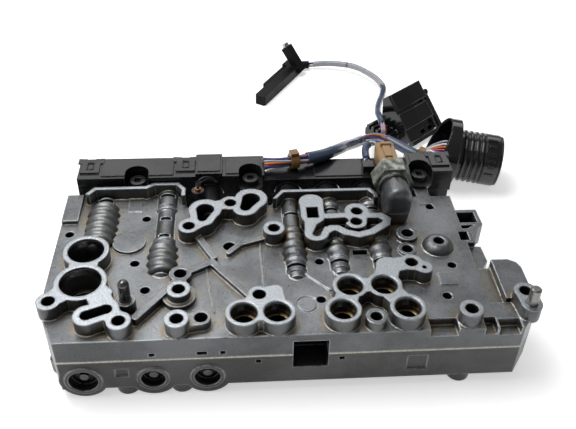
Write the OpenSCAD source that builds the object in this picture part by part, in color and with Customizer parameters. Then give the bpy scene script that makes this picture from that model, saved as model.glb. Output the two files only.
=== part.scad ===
// Valve body of an automatic transmission, with its solenoids, wiring rail and harness.
// Two aluminium castings are screwed together over a steel separator plate.
// X runs along the castings, Y from the front face to the solenoids, Z up from the table.
// Places are measured from the front face (y = 0) and from the nearer end or the middle.

/* [Castings] */
// Length of both castings, left to right
casting_w = 245; // [240:1:255]
// Depth of the castings, front face to the rearmost wall
casting_d = 114.5; // [113:0.5:120]
// Height of the lower casting, table to separator plate
lower_h = 25; // [24.5:0.5:30]
// Room between the table and the flat underside
underside_h = 6; // [4:0.5:7]
// Thickness of the separator plate
plate_t = 1; // [0.6:0.1:2]
// Height of the upper casting, separator plate to its floor
upper_h = 13.5; // [13:0.5:18]
// Height of the machined boss faces above that floor
boss_h = 7.5; // [6.5:0.5:9]
// Thickness of the walls that stand along the rear edge
rear_wall_t = 2.3; // [1.6:0.1:3]
// Height of the cast ribs on the floor
rib_h = 2.6; // [1:0.1:4]
// Width of the cast ribs on the floor
rib_w = 4; // [2:0.1:5]

/* [Ports and bolt holes] */
// Radius of the small oil ports
port_r = 6.3; // [5.5:0.1:6.6]
// Wall around a small oil port
port_wall = 2.6; // [2:0.1:2.8]
// Depth of the oil ports
port_depth = 16; // [12:0.5:18]
// Radius of the wide port at the left end
wide_port_r = 10.4; // [9.5:0.1:10.6]
// Radius of the port behind it
rear_port_r = 9.3; // [8.5:0.1:9.5]
// Radius of the through holes for the case bolts
bolt_hole_r = 3.3; // [2.8:0.1:3.5]
// Wall around a case bolt hole
bolt_wall = 2.6; // [2:0.1:2.8]
// Radius of the body screws
screw_r = 2.4; // [2:0.1:2.6]
// Radius of the body screw heads
screw_head_r = 4.2; // [3.8:0.1:4.5]
// Height of the body screw heads
screw_head_h = 3; // [2:0.1:3.5]
// Clearance around a screw or a head
screw_clearance = 0.4; // [0.2:0.05:0.6]

/* [Valves] */
// Radius of the valve bores in the upper casting
upper_bore_r = 4.5; // [4:0.1:4.7]
// Radius of the valve bores in the lower casting
lower_bore_r = 5; // [4.5:0.1:5.4]
// Depth of the upper valve axes below the floor
upper_axis_drop = 3; // [2.8:0.1:3.5]
// Radius of the bulges around the lower valves
lower_bulge_r = 11.9; // [10:0.1:12]
// Running clearance of a spool in its bore
spool_clearance = 0.04; // [0.02:0.01:0.08]
// Length of a valve spring as installed
spring_l = 10; // [9:0.5:12]
// Radius of the spring wire
spring_wire_r = 0.5; // [0.3:0.05:0.6]
// Length of a lower spool
lower_spool_l = 46; // [40:1:55]
// Length of a valve end plug
plug_l = 6; // [5:0.5:8]

/* [Solenoids and wiring rail] */
// Radius of the solenoid cans
can_r = 7.8; // [7:0.1:7.9]
// Length of the solenoid cans
can_l = 22; // [18:0.5:24]
// Length of a solenoid nose inside its bore
nose_l = 8; // [6:0.5:9]
// Height of the rail's main top face above the castings' boss faces
rail_rise = 3; // [2:0.5:6]
// Depth of the rail, front to rear
rail_d = 20; // [18:0.5:24]
// Wall of the rail
rail_wall = 2; // [1.6:0.1:2.2]
// Height of the rail
rail_h = 14; // [12:0.5:16]

/* [Pressure sensor] */
// Height of the sensor axis above the floor
sensor_rise = 14.8; // [14:0.1:18]
// Radius of the cast elbow
elbow_r = 7.6; // [6.5:0.1:8]
// Width across the flats of the hex
hex_af = 20; // [18:0.5:21]
// Width of the sensor plug
sensor_plug_w = 11; // [9:0.5:12]
// Length of the sensor plug
sensor_plug_l = 21; // [16:0.5:24]

/* [Harness pieces] */
// Radius of the round connector's barrel
barrel_r = 17.4; // [16:0.1:17.4]
// Length of the round connector's barrel
barrel_l = 29; // [28:0.5:31]
// Length of the twin connector's tall part
twin_l = 28.5; // [26:0.5:28.5]
// Length of the twin connector's sloping face
twin_face = 41; // [38:0.5:42]
// Length of the speed sensor's probe
probe_l = 66; // [60:1:70]
// Width of the speed sensor's probe
probe_w = 9; // [7:0.5:9]

/* [Hidden] */
$fn = 48;
upper_count = 5;
lower_count = 3;
solenoid_count = upper_count + 1;

// Heights
plate_z = lower_h;
upper_z = plate_z + plate_t;
floor_z = upper_z + upper_h;
boss_z = floor_z + boss_h;
upper_axis_z = floor_z - upper_axis_drop;
foot_gap = 0.4;
lower_axis_z = lower_bulge_r + foot_gap;

// Rear edges
left_rear = casting_d - 3;
right_rear = casting_d - 9.5;
notch_rear = casting_d - 14.5;
can_y = casting_d + 1;
can_end = can_y + can_l;
ring_proud = 0.8;
origin_y = (can_end - ring_proud) / 2;

// Distances from the left end and from the right end
function lx(d) = -casting_w / 2 + d;
function rx(d) = casting_w / 2 - d;

// Case bolt bosses that are full height: place and boss radius
bolt_r = bolt_hole_r + bolt_wall;
left_lug = [lx(5.9), 20.7];
slot_bolt = [lx(40.8), 6.4];
front_bolt = [lx(67.8), 6.4];
mid_bolt = [lx(67.8), 26.3];
low_bolt = [lx(67.8), 40.5];
pair_bolt = [-15.2, 20.7];
flange_bolt_a = [lx(71), casting_d - 39.8];
flange_bolt_b = [-29, casting_d - 20.5];
centre_bolt = [-5.6, right_rear - 34];
loop_bolt_a = [41.3, right_rear - 21.3];
loop_bolt_b = [39.8, right_rear - 30.3];
web_bolt = [rx(58.7), 40.5];
right_front_bolt = [rx(35.8), 6.4];
right_bolt = [rx(5.9), 17.2];
floor_bolts = [left_lug, slot_bolt, front_bolt, mid_bolt, pair_bolt, centre_bolt, web_bolt,
    right_front_bolt, right_bolt];
case_bolts = concat(floor_bolts, [flange_bolt_a, flange_bolt_b, loop_bolt_a, loop_bolt_b]);

// Oil ports
port_ring_r = port_r + port_wall;
rim_cut = 0.6;
ledge_w = 1.6;
ledge_d = 2.5;
front_port_y = port_ring_r + 0.2;
wide_port = [lx(19.3), 33.5];
rear_port = [lx(18.8), 56.7];
small_ports = [[-23, front_port_y], [-7, front_port_y], [30, 25], [47.2, 25],
    [24.7, front_port_y], [56.2, front_port_y]];

// Slot flange, stud and dowel
slot_ends = [[lx(25.5), 10.5], [lx(34), 14]];
slot_r = 3.2;
slot_wall = 3.4;
stud_at = [lx(42.5), 21];
stud_r = 2.8;
stud_tall = 19;
stud_foot_r = 4.8;
stud_foot_h = 6.5;
root_step = 0.3;
dowel_at = [rx(5.6), 8.4];
dowel_r = 2.7;
dowel_tall = 10;
pin_fit = 0.02;
pin_sink = 8;

// Thin raised lines, a shallow ring and small notches: [x, width]; recesses: [x, z, width, height]
thin_rib_w = 0.9;
mark_d = 0.35;
mark_w = 0.6;
ring_at = [8.3, 20.2];
ring_mark_r = 5.4;
notch_up = 2;
notch_h = 2.2;
notch_d = 3;
upper_notches = [[-67.4, 2.8], [-43.6, 4.9], [-33.6, 2.4]];
lower_notches = [[-16.4, 2.6], [24.5, 2.6]];
front_recesses = [[-86, 13.8, 6.2, 5.8], [57.5, 11, 10, 10.5]];
recess_d = 0.8;

// Screws that hold the castings together, driven from below
body_screw_at = [[lx(5.8), 78.7], [lx(46.5), 90.5], [lx(43.3), 53.7], [rx(36.5), casting_d - 19.5],
    [rx(35.3), 45.3], [rx(43), 22.8], [15.7, 23], [17.5, 51]];
screw_boss_r = 5.8;
screw_tip_drop = 4;

// Low holes in the floor that take no body screw: place and radius
blind_holes = [[[lx(50.2), 33.5], 2.5], [[-29.8, 65.3], 3.4], [[rx(56.8), 58], 3.1]];
blind_depth = 8;

// Bulges of the upper valves: axis place, straight stretches [from, to, radius], rings [y, radius]
bead_h = 1.2;
bead_w = 1.9;
valve_x = [lx(22.5), lx(57.5), 5, 28, 51];
valve_rear = [left_rear, casting_d, right_rear, right_rear, right_rear];
bulge_runs = [
    [[left_rear - 45.5, left_rear - 39.5, 6.6], [left_rear - 39.5, left_rear - 23.5, 8],
        [left_rear - 23.5, left_rear - 14.5, 7.2], [left_rear - 14.5, left_rear - 4, 6]],
    [[47, 50, 6], [50, 68, 7.2], [68, casting_d - 14.5, 5.8], [casting_d - 14.5, casting_d - 1, 6.4]],
    [[42, 66, 6.2], [66, right_rear - 1, 5.8]],
    [[44, 62, 6], [62, right_rear - 1, 5.8]],
    [[44, 62, 6], [62, right_rear - 1, 5.8]]];
bulge_rings = [
    [[left_rear - 41.5, 6.6], [left_rear - 35.5, 7.6], [left_rear - 29.5, 7.8], [left_rear - 23.5, 7.4],
        [left_rear - 17.5, 6.6], [left_rear - 11.5, 5.8]],
    [[52, 6.6], [58, 6.8], [64, 6.8], [70, 5.8], [casting_d - 17.5, 5.6]],
    [[52, 5.6], [58, 5.6], [64, 5.4], [70, 5.2], [76, 5.2]],
    [[53, 5.4], [59, 5.4], [65, 5.2], [right_rear - 7, 5.2]],
    [[53, 5.4], [59, 5.4], [65, 5.2], [right_rear - 7, 5.2]]];
bulge_nose_r = [6.4, 5.8, 5.6, 5.4, 5.4];

// Slots cut through the bulges for clips and for looking at the spools: valve, y, width, length
clip_w = 2.4;
clip_y = [0, 0, 45, 47.5, 47.5];
clip_slot_w = 10;
peep_slots = [[1, casting_d - 42.5, 5.5, 2.2], [1, casting_d - 28, 5.5, 2.2], [1, casting_d - 7.5, 8, 2.4],
    [0, left_rear - 7.5, 8, 2.4], [2, right_rear - 17, 8, 2.2], [3, right_rear - 14, 8, 2.2],
    [4, right_rear - 14, 8, 2.2]];

// Upper valve trains: front seat of each spring
blind_front = left_rear - 41.5;
deep_front = 50;
plug_back = [for (i = [0 : upper_count - 1]) clip_y[i] + clip_w + plug_l];
spring_seat = [blind_front, deep_front, plug_back[2], plug_back[3], plug_back[4]];
seat_gap = 0.3;
spool_front = [for (s = spring_seat) s + spring_l + 2 * seat_gap];
spool_rear = [for (r = valve_rear) r - nose_l - seat_gap];
spool_neck_r = 2.6;
spring_r = 3;
spring_turns = 5;

// Lower valve trains: axis place, radius of the opening in the front face
lower_x = [lx(20.6), lx(54.4), lx(80.9)];
opening_r = [7.2, 6, 6.4];
opening_d = 16;
front_ring_y = 3;
front_ring_t = 1.2;
front_ring_lip = 0.8;
front_plug_y = front_ring_y + front_ring_t + 0.1;
front_plug_l = opening_d - front_plug_y - 0.2;
lower_spring_y = opening_d + seat_gap;
lower_spool_y = lower_spring_y + spring_l + 2 * seat_gap;
lower_bore_end = lower_spool_y + lower_spool_l + seat_gap;
lower_bulge_end = lower_bore_end + 6;

// Solenoids
solenoid_x = concat(valve_x, [lx(81.5)]);
solenoid_rear = concat(valve_rear, [notch_rear]);
neck_r = 6;
can_cap_l = 3;
plug_block = [8, 9];

// Wiring rail
rail_x0 = lx(5.5);
rail_x1 = rx(19.5);
rail_y0 = casting_d + 1;
rail_y1 = rail_y0 + rail_d;
rail_z = boss_z + rail_rise;
low_rail_z = upper_axis_z + can_r + rail_wall + 0.3;
tall_rail_z = rail_z + 2;
tall_x0 = lx(73.5);
tall_x1 = lx(89);
low_x0 = -9;
low_x1 = rx(45.5);
arch_gap = 0.4;
rail_screw_x = [lx(39.5), -17, rx(38.5)];
rail_screw_y = casting_d + 5.5;
lug_r = 5.8;
lug_top = floor_z + 0.4;
seat_t = 2;
recess_r = 6.8;
rail_head_r = 4.6;
rail_head_h = 3.4;
latch_x = [rail_x0 + 6.5, lx(67.5), rail_x1 - 6.5];
latch_size = [11, 14, 1];
panel_t = 0.6;

// Pressure sensor on the elbow
sensor_x = rx(58.8);
sensor_z = floor_z + sensor_rise;
elbow_y0 = right_rear - 24.5;
elbow_y1 = right_rear - 9;
elbow_foot_w = 12.5;
elbow_round = 3.2;
collar_l = 2;
hex_l = 11;
sensor_neck_l = 3;
sensor_plug_y = elbow_y1 + collar_l + hex_l + sensor_neck_l;
sensor_plug_h = 11;

// Routes of the cords, chosen by hand; y counts from the rail's front wall
main_r = 3.5;
main_route = [[-9, 8, 51.9], [0, 9.5, 51.9], [9, 11.5, 51.9], [18, 14, 51.8], [26.5, 17.5, 51.2],
    [33.5, 24, 49.2], [39.5, 33.5, 45], [45, 44.5, 39.5], [50.5, 55.5, 33.5], [56, 66.5, 27.5],
    [61.5, 77.5, 22], [66.5, 84.5, 19], [71.5, 90.3, 16], [77, 93.6, 13.9], [82, 92.1, 13],
    [87.5, 87.5, 12.3], [92.5, 82.5, 11.8], [97.3, 77.7, 11.3], [101.6, 74.4, 10.9],
    [106.4, 70.8, 10.7], [110.3, 68.1, 12.1], [113.6, 65.5, 14.4], [117.36, 63.1, 16.35],
    [120.87, 62.35, 16.05]];
branch_r = 2.3;
branch_route = [[80.72, 95.67, 15.5], [80.9, 99.1, 17.6], [80.2, 107.5, 19.4], [80, 117.5, 18.4],
    [81.4, 128.5, 16.4], [84.8, 141.5, 14.2], [89.4, 155.5, 12.2], [92.6, 167.5, 11], [92.6, 178, 10],
    [89.4, 191, 9], [84.2, 201.5, 8.2], [78.4, 210.2, 7.5], [71.5, 216.5, 6.8], [63.4, 220.3, 6.2],
    [54.5, 222.9, 5.6], [46.3, 223.8, 4.8], [38, 223.9, 4]];
sensor_lead_r = 2.2;
sensor_lead_turn = [[-0.2, 23, 54], [-2.2, 26.5, 53.2], [-5.7, 28, 52.2], [-8.9, 26, 51.2],
    [-10.2, 21.5, 50.2], [-10.4, 16, 49.6], [-10.4, 10.5, 49.4]];
sensor_lead_route = concat([[0, sensor_plug_y + sensor_plug_l - rail_y0, sensor_z]], sensor_lead_turn);
connector_lead_r = 2;
connector_lead_route = [[66.1, 76.5, 17], [67.6, 83, 13.4], [68.4, 89.8, 10.2], [70.8, 96, 7.6],
    [74, 102, 5.6], [77, 106.5, 4.8], [79.4, 109.4, 4.6]];
cord_sides = 10;
thin_cord_sides = 8;

// Gland where the sensor's lead goes into the rail
gland_size = [7, 6.4, 5.6];
gland_at = [sensor_x - 10.4, rail_y0 + 3.9];

// Cable ties: place on the main cord, [dip, heading] and size
tie_gap = 0.05;
tie_t = 1.2;
tie_w = 5;
front_tie_at = [9, 11.5, 51.9];
front_tie_turn = [0, 14];
rear_tie_at = [104, 72.6, 10.8];
rear_tie_turn = [1.9, -36.9];

// Round connector lying on the table; its place is the top of the hood's mouth
round_at = [116.8, 62.7];
round_turn = -12;
round_dip = 4.7;
round_z = barrel_r + 3;
rib_bead_r = 1.4;
rib_pitch = 3.7;
rib_count = 4;
collar_x = 17.6;
end_step = 0.6;
end_groove = 1;
socket_depth = 8;
socket_wall = 3.4;
hood_r = barrel_r + 4.4;
hood_rise = 2.2;
hood_lip = 14;
hood_wall = 1.6;
hood_seat = 7;
hood_floor = 2.4;

// Twin connector leaning on the table; its place is the lower right corner of the sloping face
twin_at = [131.6, 121.8, 2.2];
twin_turn = 41;
twin_tilt = 48;
twin_right = -8;
twin_left = twin_right - twin_l;
twin_foot = 3.2;
twin_top = 6;
twin_belly = [20, -22.5];
twin_heel = 6.2;
bay_h = 5.2;
bay_y = [[13, 25.5], [28, twin_face]];
slot_at = [[-14.5, 4.6], [-23, 4.6]];
slot_size = [5, 3];
frame_t = 3;
frame_h = 4.5;
frame_bar = 31;
frame_knob_r = 2.2;

// Comb of the twin connector, flat on the table
comb_at = [105, 129.5];
comb_turn = 38;
comb_x = -32;
comb_l = 23;
comb_h = 8.5;
comb_y0 = -10;
comb_y1 = 13;
comb_teeth = 5;

// Speed sensor lying on the table
speed_at = [-5.9, 164.9, 0];
speed_turn = 59;
probe_h = 8;
tab_l = 24;
tab_rise = 53;
tab_t = 8.4;
tab_h = 6;
bush_r = 2.8;
bush_l = 3;
boot_x = 21;
table_gap = 0.1;
boot_r = 3.2;

// Builds its children in the part's own frame, with the origin under the middle.
module seat() {
    translate([0, -origin_y, 0])
        children();
}

// Builds its children behind the castings, with y counted from the rail's front wall.
module behind() {
    translate([0, rail_y0 - origin_y, 0])
        children();
}

// Turns a shape that stands along Z so that it runs along Y at x, z.
module along_y(x, z) {
    translate([x, 0, z])
        rotate([-90, 0, 0])
            children();
}

// Two circles joined by a straight web that is a little narrower than their tangents.
web_share = 0.96;

module link2d(p, r, q, s) {
    gap = q - p;
    turn = atan2(gap[1], gap[0]);
    lean = acos((r - s) / norm(gap));
    a = [cos(turn + lean), sin(turn + lean)];
    b = [cos(turn - lean), sin(turn - lean)];
    translate(p) circle(r);
    translate(q) circle(s);
    m = web_share * r;
    n = web_share * s;
    polygon([p + m * a, p + m * b, q + n * b, q + n * a]);
}

// A band of even width along a chain of points.
module chain2d(points, r) {
    for (i = [0 : len(points) - 2])
        link2d(points[i], r, points[i + 1], r);
}

// Extrudes a flat outline from one height to another.
module tall(from, to) {
    translate([0, 0, from])
        linear_extrude(to - from)
            children();
}

// Round hole or boss standing on end.
module post(at, r, from, to) {
    translate([at[0], at[1], from])
        cylinder(r = r, h = to - from);
}

function unit(v) = v / norm(v);
function tangent(path, i) = unit(path[min(i + 1, len(path) - 1)] - path[max(i - 1, 0)]);

// Sweeps a round section along a path; up is any direction the path never takes.
module swept_tube(path, r, sides, up) {
    last = len(path) - 1;
    points = [for (i = [0 : last])
        let (t = tangent(path, i), a = unit(cross(up, t)), b = cross(t, a))
        for (k = [0 : sides - 1])
            path[i] + r * (cos(360 * k / sides) * a + sin(360 * k / sides) * b)];
    skin = [for (i = [0 : last - 1], k = [0 : sides - 1])
        let (n = (k + 1) % sides, p = i * sides, q = p + sides)
        each [[p + k, q + k, q + n], [p + k, q + n, p + n]]];
    first_cap = [for (k = [0 : sides - 1]) k];
    last_cap = [for (k = [sides - 1 : -1 : 0]) last * sides + k];
    polyhedron(points = points, faces = concat(skin, [first_cap, last_cap]), convexity = 6);
}

// Plan of the castings without the end pieces on the right.
module plan2d() {
    polygon([[lx(9.5), 0], [rx(22.5), 0], [rx(22.5), right_rear], [-3, right_rear], [-6, notch_rear],
        [lx(68), notch_rear], [lx(68), casting_d - 6], [lx(63.5), casting_d], [lx(49), casting_d],
        [lx(45), left_rear], [lx(0), left_rear], [lx(0), 22]]);
}

// Plan of the foot at the right front, outside the main plan.
module right_foot2d() {
    polygon([[rx(23.5), 0], [rx(9.5), 0], [rx(0), 13], [rx(0), 40], [rx(1.6), 44], [rx(5.5), 46.5],
        [rx(14.5), 46.5], [rx(16), 44.5], [rx(23.5), 44.5]]);
}

// Walls that stand along the rear edge.
module rear_walls() {
    t = rear_wall_t;
    end_x = sensor_x - 8.4;
    tall(floor_z - 1, boss_z) {
        polygon([[lx(11.5), left_rear - 6], [lx(16), left_rear], [lx(45), left_rear], [lx(49), casting_d],
            [lx(63.5), casting_d], [lx(68), casting_d - 6], [lx(68), notch_rear + 2],
            [lx(68) - t, notch_rear + 2], [lx(68) - t, casting_d - 6 - t / 3],
            [lx(63.5) - t / 2, casting_d - t], [lx(49) + t / 2, casting_d - t],
            [lx(45) + t / 2, left_rear - t], [lx(16) + t / 2, left_rear - t],
            [lx(11.5) + t, left_rear - 6 - t / 2]]);
        polygon([[-5, right_rear - 8], [0.5, right_rear], [end_x - 4, right_rear], [end_x, right_rear - 5],
            [end_x, right_rear - 9], [end_x - t, right_rear - 9], [end_x - t, right_rear - 5 - t / 3],
            [end_x - 4 - t / 2, right_rear - t], [1.5, right_rear - t], [-5 + t, right_rear - 8]]);
    }
}

// Flange outlines at full boss height that stand on the floor.
module flanges2d() {
    for (b = floor_bolts)
        translate(b) circle(bolt_r);
    for (p = small_ports)
        translate(p) circle(port_ring_r);
    translate(wide_port) circle(wide_port_r + port_wall);
    translate(rear_port) circle(rear_port_r + port_wall);
    link2d(left_lug, bolt_r - 1, wide_port, 8);
    link2d(wide_port, 7, rear_port, 8);
    link2d(slot_ends[0], slot_r + slot_wall, slot_ends[1], slot_r + slot_wall);
    link2d(slot_ends[1], 5, slot_bolt, 5);
    link2d(wide_port + [7, -4], 6, slot_ends[1], 6);
    link2d(wide_port + [8, -5], 5, stud_at + [-9, 4.6], 2.6);
    link2d(small_ports[0], 6, small_ports[1], 6);
    link2d(small_ports[0], 5, pair_bolt, 4.5);
    link2d(small_ports[1], 5, pair_bolt, 4.5);
    link2d(pair_bolt, 4.5, [-7.2, 23.2], 4);
    link2d([-7.2, 23.2], 4, small_ports[1], 6);
    link2d(small_ports[2], 6, small_ports[3], 4);
    link2d(small_ports[2], 6, small_ports[4], 6);
    link2d(small_ports[3], 6, small_ports[5], 6);
    link2d(small_ports[3], 6, [51.5, 38.5], 6.5);
    link2d([51.5, 38.5], 5.5, web_bolt, bolt_r - 1);
    link2d(web_bolt, bolt_r - 1.2, [rx(52.7), 36.5], 4.4);
    link2d(right_bolt, bolt_r, dowel_at, 5.2);
    loop2d();
}

// Winding flange with one squared port, two bolt holes and a curved channel.
module loop2d() {
    translate([0, right_rear]) {
        link2d([16.5, -12], 7, [16.5, -24], 6.8);
        link2d([16.5, -24], 5, [17.2, -39], 6.6);
        chain2d([[17, -25], [29, -25], [41, -24.5]], 2.2);
        chain2d([[21.5, -39], [25.5, -35.4], [29, -35.6], [33, -39.2], [40, -41.6], [47, -39.4], [52, -35.6],
            [56, -32.5], [57, -28.8], [54, -25.6], [46, -25.2]], 2.3);
    }
    link2d(loop_bolt_a, bolt_r + 1, loop_bolt_b, bolt_r);
}

// Outline of the paired flange with two pear-shaped ports.
module pear2d(grow) {
    link2d([lx(79.5), casting_d - 26], 5 + grow, [lx(78.2), casting_d - 33.6], 2.6 + grow);
    link2d([-17.3, casting_d - 17.2], 5.1 + grow, [-20.6, casting_d - 25], 3 + grow);
}

module pear_flange2d() {
    wall = 4.2;
    pear2d(wall);
    link2d(flange_bolt_a, bolt_r, [lx(78.2), casting_d - 34.5], 5.5);
    link2d([lx(82), casting_d - 24], 4.4, flange_bolt_b, 4.4);
    link2d(flange_bolt_b, 4.4, [-20, casting_d - 22], 4.4);
    translate(flange_bolt_b) circle(bolt_r);
}

// Bosses and pads that stop below the full height.
module low_bosses() {
    post(mid_bolt, bolt_r + 2.4, floor_z - 1, floor_z + 3);
    tall(floor_z - 1, boss_z - 3) {
        translate(low_bolt) circle(5.6);
        link2d(low_bolt, 3, mid_bolt, 4);
        link2d([lx(79), 9.5], 4.8, front_bolt, 4);
        chain2d([[lx(65), 34], [lx(48), 11.5]], rib_w / 2);
    }
    post([40.3, 5.4], 5.1, floor_z - 1, boss_z - 2);
    post([rx(55), 69], 6, floor_z - 1, floor_z + 3);
    post([rx(56.8), 58], 5, floor_z - 1, floor_z + 1.2);
    post([lx(39), 70], 9, floor_z - 1, floor_z + 1.5);
    translate([rx(39.5), 60.5, floor_z])
        rotate_extrude() {
            square([4.4, 4.2]);
            intersection() {
                translate([3.4, -1]) circle(5.3);
                square([9, 4.2]);
            }
        }
    tall(floor_z - 1, floor_z + 0.8)
        translate([rx(44.5), 30.5]) square(9);
    tall(floor_z - 1, floor_z + 2.5)
        translate([lx(0.3), left_rear - 24]) square([9, 23.6]);
}

// Cast ribs on the floor.
module ribs() {
    hub = [-38, 55];
    tall(floor_z - 1, floor_z + rib_h) {
        chain2d([flange_bolt_a + [2, 2], hub], rib_w / 2);
        chain2d([low_bolt + [0, 1.5], hub + [-1, -4]], rib_w / 2);
        chain2d([hub + [-1, -4], pair_bolt + [-4, 4]], rib_w / 2);
        chain2d([hub + [8, 3], hub + [14, 9.5], centre_bolt], rib_w / 2.6);
    }
    tall(floor_z - 1, floor_z + rib_h / 4) {
        chain2d([[8, 44], [21, 30]], rib_w / 4);
        chain2d([[-41.7, 47], [-37.4, 16.5]], thin_rib_w / 2);
        chain2d([[-13.2, 66], [-12.2, 30]], thin_rib_w / 2);
    }
    post(stud_at, stud_foot_r, floor_z - 1, floor_z + stud_foot_h);
}

// One ringed bulge around an upper valve bore.
module bulge(i) {
    along_y(valve_x[i], upper_axis_z)
        rotate_extrude() {
            for (run = bulge_runs[i])
                translate([0, run[0]]) square([run[2], run[1] - run[0]]);
            for (ring = bulge_rings[i])
                translate([0, ring[0]])
                    polygon([[0, -bead_w], [ring[1], -bead_w], [ring[1] + bead_h, -bead_w / 2.4],
                        [ring[1] + bead_h, bead_w / 2.4], [ring[1], bead_w], [0, bead_w]]);
            translate([0, bulge_runs[i][0][0]])
                polygon([[0, 1], [bulge_nose_r[i], 1], [bulge_nose_r[i] - 0.7, -bulge_nose_r[i] / 2],
                    [bulge_nose_r[i] / 2.2, -bulge_nose_r[i] + 0.6], [0, -bulge_nose_r[i]]]);
        }
}

// Cast elbow that carries the pressure sensor.
module elbow() {
    half = elbow_foot_w / 2;
    along_y(sensor_x, sensor_z)
        rotate_extrude()
            polygon([[0, elbow_y0], [elbow_r - elbow_round, elbow_y0],
                [elbow_r - elbow_round / 3.4, elbow_y0 + elbow_round / 3.4],
                [elbow_r, elbow_y0 + elbow_round], [elbow_r, elbow_y1], [0, elbow_y1]]);
    tall(floor_z - 1, sensor_z) {
        translate([sensor_x, elbow_y1 - elbow_r - 0.4]) circle(elbow_r - 0.3);
        translate([sensor_x, 0])
            polygon([[-half, elbow_y0 + 2.2], [1.6 - half, elbow_y0 + 0.5], [half - 1.6, elbow_y0 + 0.5],
                [half, elbow_y0 + 2.2], [half, elbow_y1 - elbow_r], [-half, elbow_y1 - elbow_r]]);
    }
}

// Steps, pad and thin-walled pockets at the right end.
module right_end() {
    tall(upper_z, floor_z - 2.5)
        right_foot2d();
    tall(upper_z, floor_z + 2)
        intersection() {
            right_foot2d();
            translate([rx(14.5), 18]) square([20, 40]);
        }
    tall(upper_z, floor_z)
        intersection() {
            right_foot2d();
            translate([rx(23.5), -1]) square([30, 18]);
        }
    tall(upper_z, floor_z)
        translate([0, right_rear])
            polygon([[rx(24), -13.5], [rx(10.5), -13.5], [rx(10), -27], [rx(13.5), -30.5], [rx(18), -33],
                [rx(18), -42], [rx(24), -42]]);
    tall(upper_z, floor_z - 3.5)
        polygon([[rx(24), right_rear - 41], [rx(14.5), right_rear - 42], [rx(14), 51], [rx(17.5), 46],
            [rx(24), 44]]);
}

module right_end_cuts() {
    deep = upper_z + 3;
    translate([rx(22.5), right_rear - 25, deep]) cube([10, 9.2, upper_h]);
    tall(deep, floor_z + 1)
        translate([0, right_rear])
            polygon([[rx(22.5), -27.2], [rx(15), -27.2], [rx(19.5), -30.2], [rx(22.5), -30.2]]);
    translate([rx(25.5), right_rear - 40, floor_z - 7]) cube([5, 7.5, upper_h]);
    translate([rx(22), -1, floor_z - 5]) cube([11, 7, upper_h]);
    translate([rx(56), -1, floor_z - 4.5]) cube([14, 8.5, upper_h]);
    translate([rx(29), -1, floor_z - 4.5]) cube([6, 8.5, upper_h]);
}

// Lugs behind the castings that take the rail's screws.
module rail_lugs() {
    for (x = rail_screw_x)
        tall(upper_z + 1, lug_top) {
            translate([x, rail_screw_y]) circle(lug_r);
            translate([x - 4, notch_rear - 3]) square([8, rail_screw_y - notch_rear + 3]);
        }
}

// Holes of the upper casting.
module upper_cuts() {
    over = boss_z + 1;
    for (b = case_bolts)
        post(b, bolt_hole_r, upper_z - 1, over);
    for (p = small_ports)
        port_cut(p);
    post(wide_port, wide_port_r, boss_z - port_depth, over);
    post(rear_port, rear_port_r, boss_z - port_depth, over);
    port_ledge(wide_port, wide_port_r);
    port_ledge(rear_port, rear_port_r);
    tall(boss_z - port_depth, over) {
        link2d(slot_ends[0], slot_r, slot_ends[1], slot_r);
        pear2d(0);
        translate([13.25, right_rear - 26.25]) square([6.5, 9.5]);
    }
    tall(boss_z - 5, over)
        translate([0, right_rear])
            chain2d([[17.2, -39.8], [19.8, -33.4], [24.4, -29.4], [33.4, -29]], 2.3);
    for (s = body_screw_at)
        post(s, screw_r + 0.05, upper_z - 1, over);
    for (h = blind_holes)
        post(h[0], h[1], floor_z - blind_depth, over);
    post(low_bolt, bolt_hole_r, floor_z - blind_depth, over);
    post([lx(79), 9.5], bolt_hole_r, floor_z - blind_depth / 2, over);
    post([40.3, 5.4], 3, floor_z - blind_depth, over);
    post([rx(55), 69], 3.4, floor_z - blind_depth, over);
    post([rx(39.5), 60.5], 3.1, floor_z - blind_depth, over);
    post([rx(52.7), 36.5], 1.2, floor_z, over);
    for (x = rail_screw_x)
        post([x, rail_screw_y], screw_r + 0.05, upper_z + 2, over);
    translate([36, 55.5, floor_z - 4]) cube([8, 4, boss_h]);
    post(stud_at, stud_r + root_step + pin_fit, floor_z - pin_sink, over);
    post(dowel_at, dowel_r + root_step + pin_fit, boss_z - pin_sink, over);
}

// A small oil port with a chamfered rim.
module port_cut(p) {
    post(p, port_r, boss_z - port_depth, boss_z + 1);
    port_ledge(p, port_r);
    translate([p[0], p[1], boss_z - 2 * rim_cut])
        cylinder(r1 = port_r - rim_cut, r2 = port_r + 2 * rim_cut, h = 3 * rim_cut);
}

// Narrower end of an oil port, below its ledge.
module port_ledge(p, r) {
    post(p, r - ledge_w, boss_z - port_depth - ledge_d, boss_z - port_depth + 1);
}

// Shallow ring in the floor and small notches along the front face.
module floor_marks() {
    tall(floor_z - mark_d, floor_z + 1)
        translate(ring_at)
            difference() {
                circle(ring_mark_r);
                circle(ring_mark_r - mark_w);
            }
    for (n = upper_notches)
        translate([n[0] - n[1] / 2, -1, upper_z + notch_up]) cube([n[1], notch_d + 1, notch_h]);
}

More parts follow.
